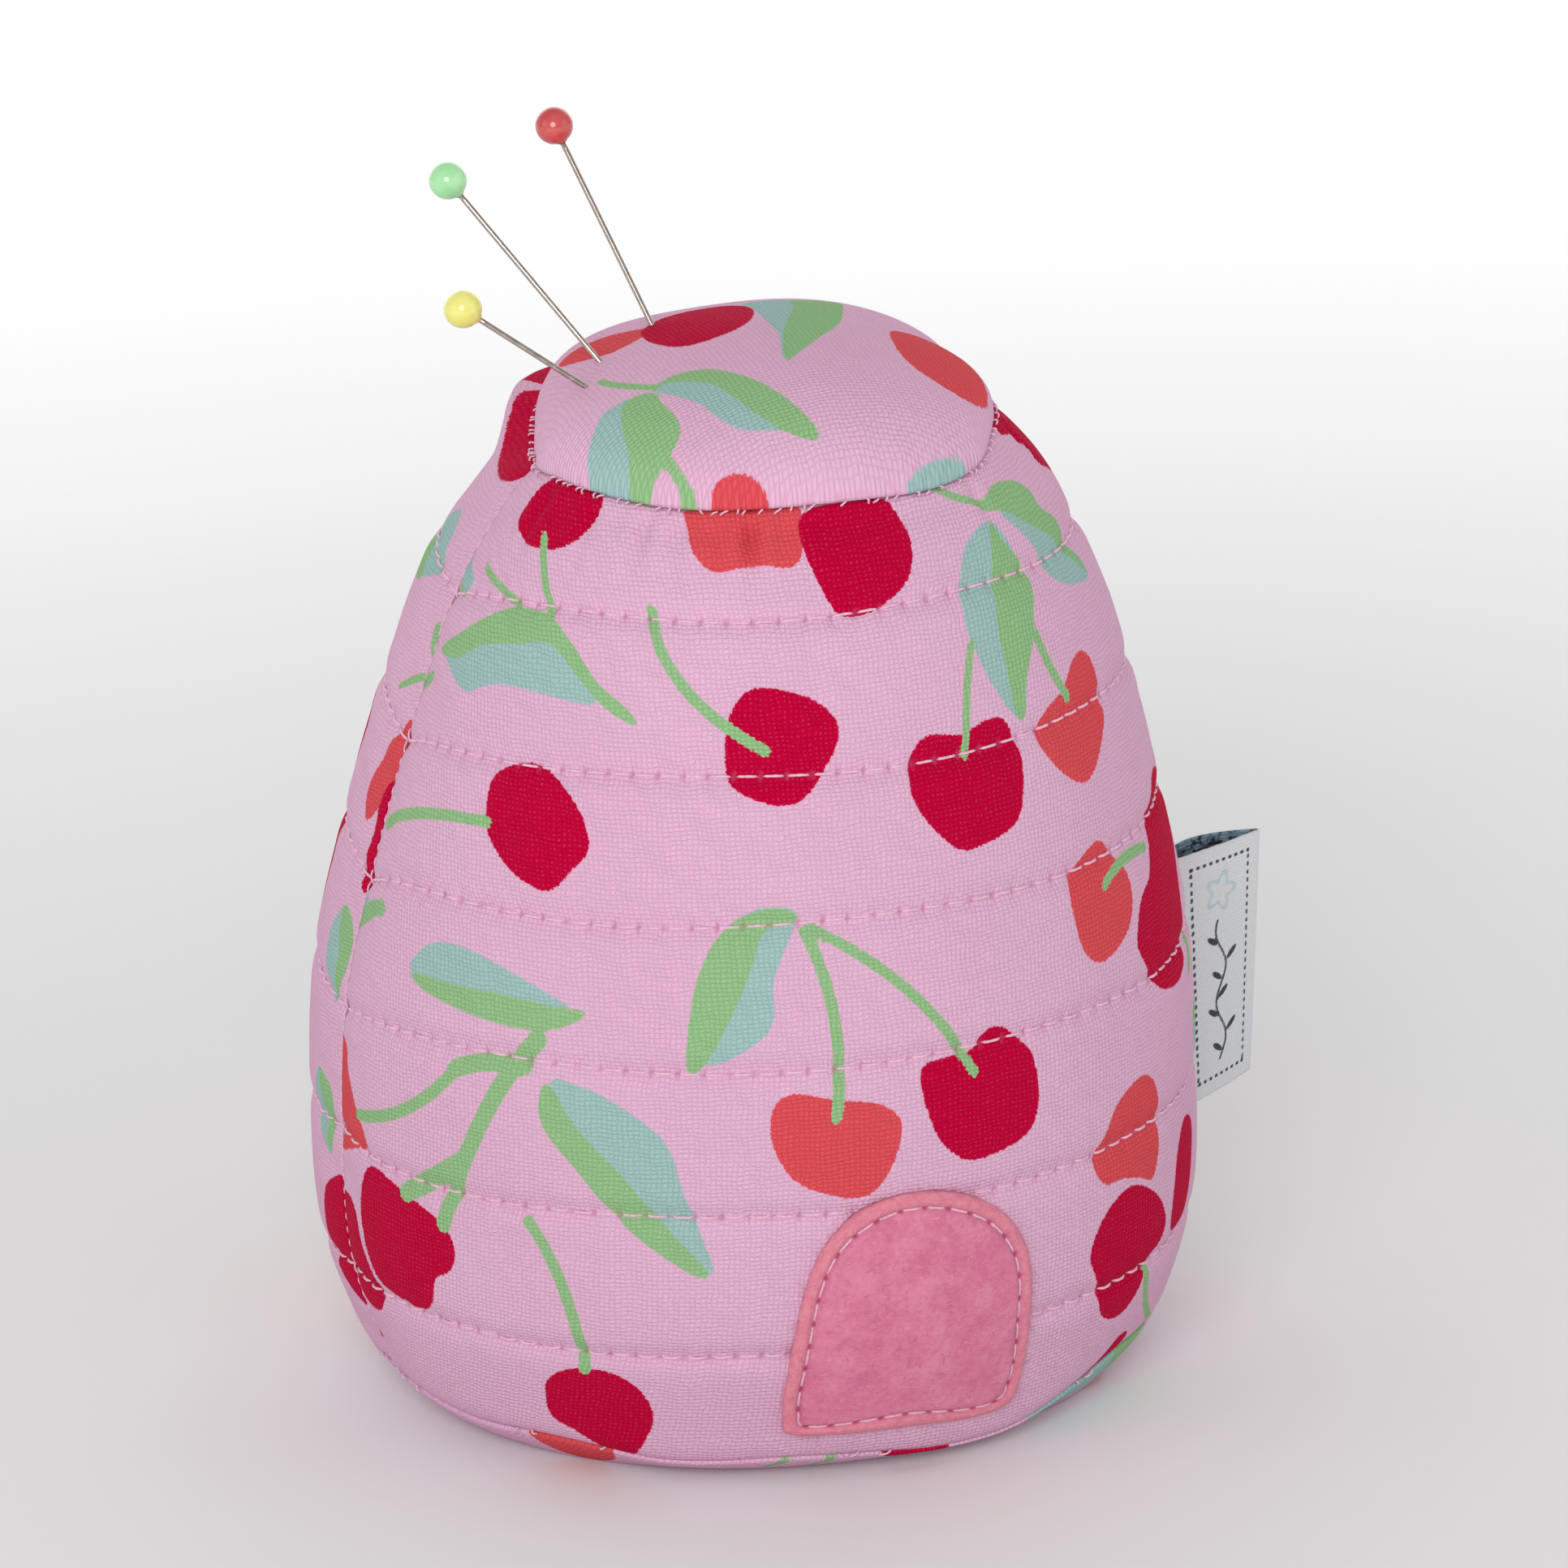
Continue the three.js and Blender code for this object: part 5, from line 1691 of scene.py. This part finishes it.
VIEW_AZIMUTH = math.radians(-20)
VIEW_ELEVATION = math.radians(17.5)
VIEW_DISTANCE = 1.1184
VIEW_ROLL = math.radians(-2.18)
LOOK_RIGHT = 4.6 * MM
LOOK_HEIGHT = 0.554 * CROWN_HEIGHT
FRAME_WIDTH = 0.16516  # width of what the camera sees at that distance
FLOOR_WIDTH = 6.0
WALL_DISTANCE = 2.4
WHITE = (1, 1, 1, 1)
# name: (place, width, power)
LAMPS = {
    "key": ((-0.5, -0.95, 0.5), 0.6, 5.8),
    "fill": ((0.75, -0.6, 0.35), 0.7, 0.7),
    "left": ((-0.9, -0.1, 0.4), 0.6, 0.6),
}


def add_camera():
    """Looks at the cushion from its front left, a little above."""
    right = Vector((math.cos(VIEW_AZIMUTH), math.sin(VIEW_AZIMUTH), 0))
    level = Vector((-math.sin(VIEW_AZIMUTH), math.cos(VIEW_AZIMUTH), 0))
    ahead = level * math.cos(VIEW_ELEVATION) - Vector((0, 0, math.sin(VIEW_ELEVATION)))
    target = right * LOOK_RIGHT + Vector((0, 0, LOOK_HEIGHT))
    data = bpy.data.cameras.new("camera")
    data.sensor_width = 36
    data.lens = data.sensor_width * VIEW_DISTANCE / FRAME_WIDTH
    camera = bpy.data.objects.new("camera", data)
    turn = ahead.to_track_quat("-Z", "Y").to_matrix().to_4x4() @ Matrix.Rotation(VIEW_ROLL, 4, "Z")
    camera.matrix_world = Matrix.Translation(target - ahead * VIEW_DISTANCE) @ turn
    bpy.context.scene.collection.objects.link(camera)
    bpy.context.scene.camera = camera


def add_lamp(name, place, size, power):
    """A soft round lamp aimed at the cushion's middle."""
    data = bpy.data.lights.new(name, "AREA")
    data.shape = "DISK"
    data.size = size
    data.energy = power
    lamp = bpy.data.objects.new(name, data)
    target = Vector((0, 0, CROWN_HEIGHT / 2))
    aim = (target - Vector(place)).to_track_quat("-Z", "Y")
    lamp.matrix_world = Matrix.Translation(place) @ aim.to_matrix().to_4x4()
    bpy.context.scene.collection.objects.link(lamp)


def add_floor():
    """A pale floor that glows a little more with distance, so that it fades into the wall."""
    half = FLOOR_WIDTH / 2
    corners = [(-half, -half, 0), (half, -half, 0), (half, half, 0), (-half, half, 0)]
    floor = new_object("floor", corners, [(0, 1, 2, 3)], smooth=False)
    nodes = Nodes("floor")
    place = nodes.object_place()
    grain = nodes.noise(place, 8.0)
    colour = nodes.mix(grain, (0.76, 0.76, 0.76, 1), (0.79, 0.79, 0.79, 1))
    distance = nodes.add("ShaderNodeVectorMath", operation="LENGTH")
    nodes.join(place, distance.inputs[0])
    glow = nodes.spread(distance.outputs["Value"], 0.08, 0.6, 0.02, 0.4, smooth=True)
    floor.data.materials.append(
        nodes.finish(colour, Roughness=0.9, Emission_Color=WHITE, Emission_Strength=glow)
    )


def add_backdrop():
    """A softly glowing white wall far behind."""
    behind = Vector((-math.sin(VIEW_AZIMUTH), math.cos(VIEW_AZIMUTH), 0))
    right = Vector((math.cos(VIEW_AZIMUTH), math.sin(VIEW_AZIMUTH), 0))
    corners = []
    far, foot = WALL_DISTANCE, 2 * MM
    for side, height in ((-far, foot), (far, foot), (far, far), (-far, far)):
        corners.append(behind * far + right * side + Vector((0, 0, height)))
    wall = new_object("backdrop", corners, [(0, 1, 2, 3)], smooth=False)
    nodes = Nodes("backdrop")
    wall.data.materials.append(
        nodes.finish((0.9, 0.9, 0.9, 1), Emission_Color=WHITE, Emission_Strength=1.1)
    )


def add_world():
    world = bpy.data.worlds.new("studio")
    world.use_nodes = True
    background = world.node_tree.nodes["Background"]
    background.inputs["Color"].default_value = WHITE
    background.inputs["Strength"].default_value = 0.55
    bpy.context.scene.world = world


add_camera()
for lamp_name, (lamp_place, lamp_width, lamp_power) in LAMPS.items():
    add_lamp(lamp_name, lamp_place, lamp_width, lamp_power)
add_floor()
add_backdrop()
add_world()
bpy.context.scene.view_settings.view_transform = "Standard"
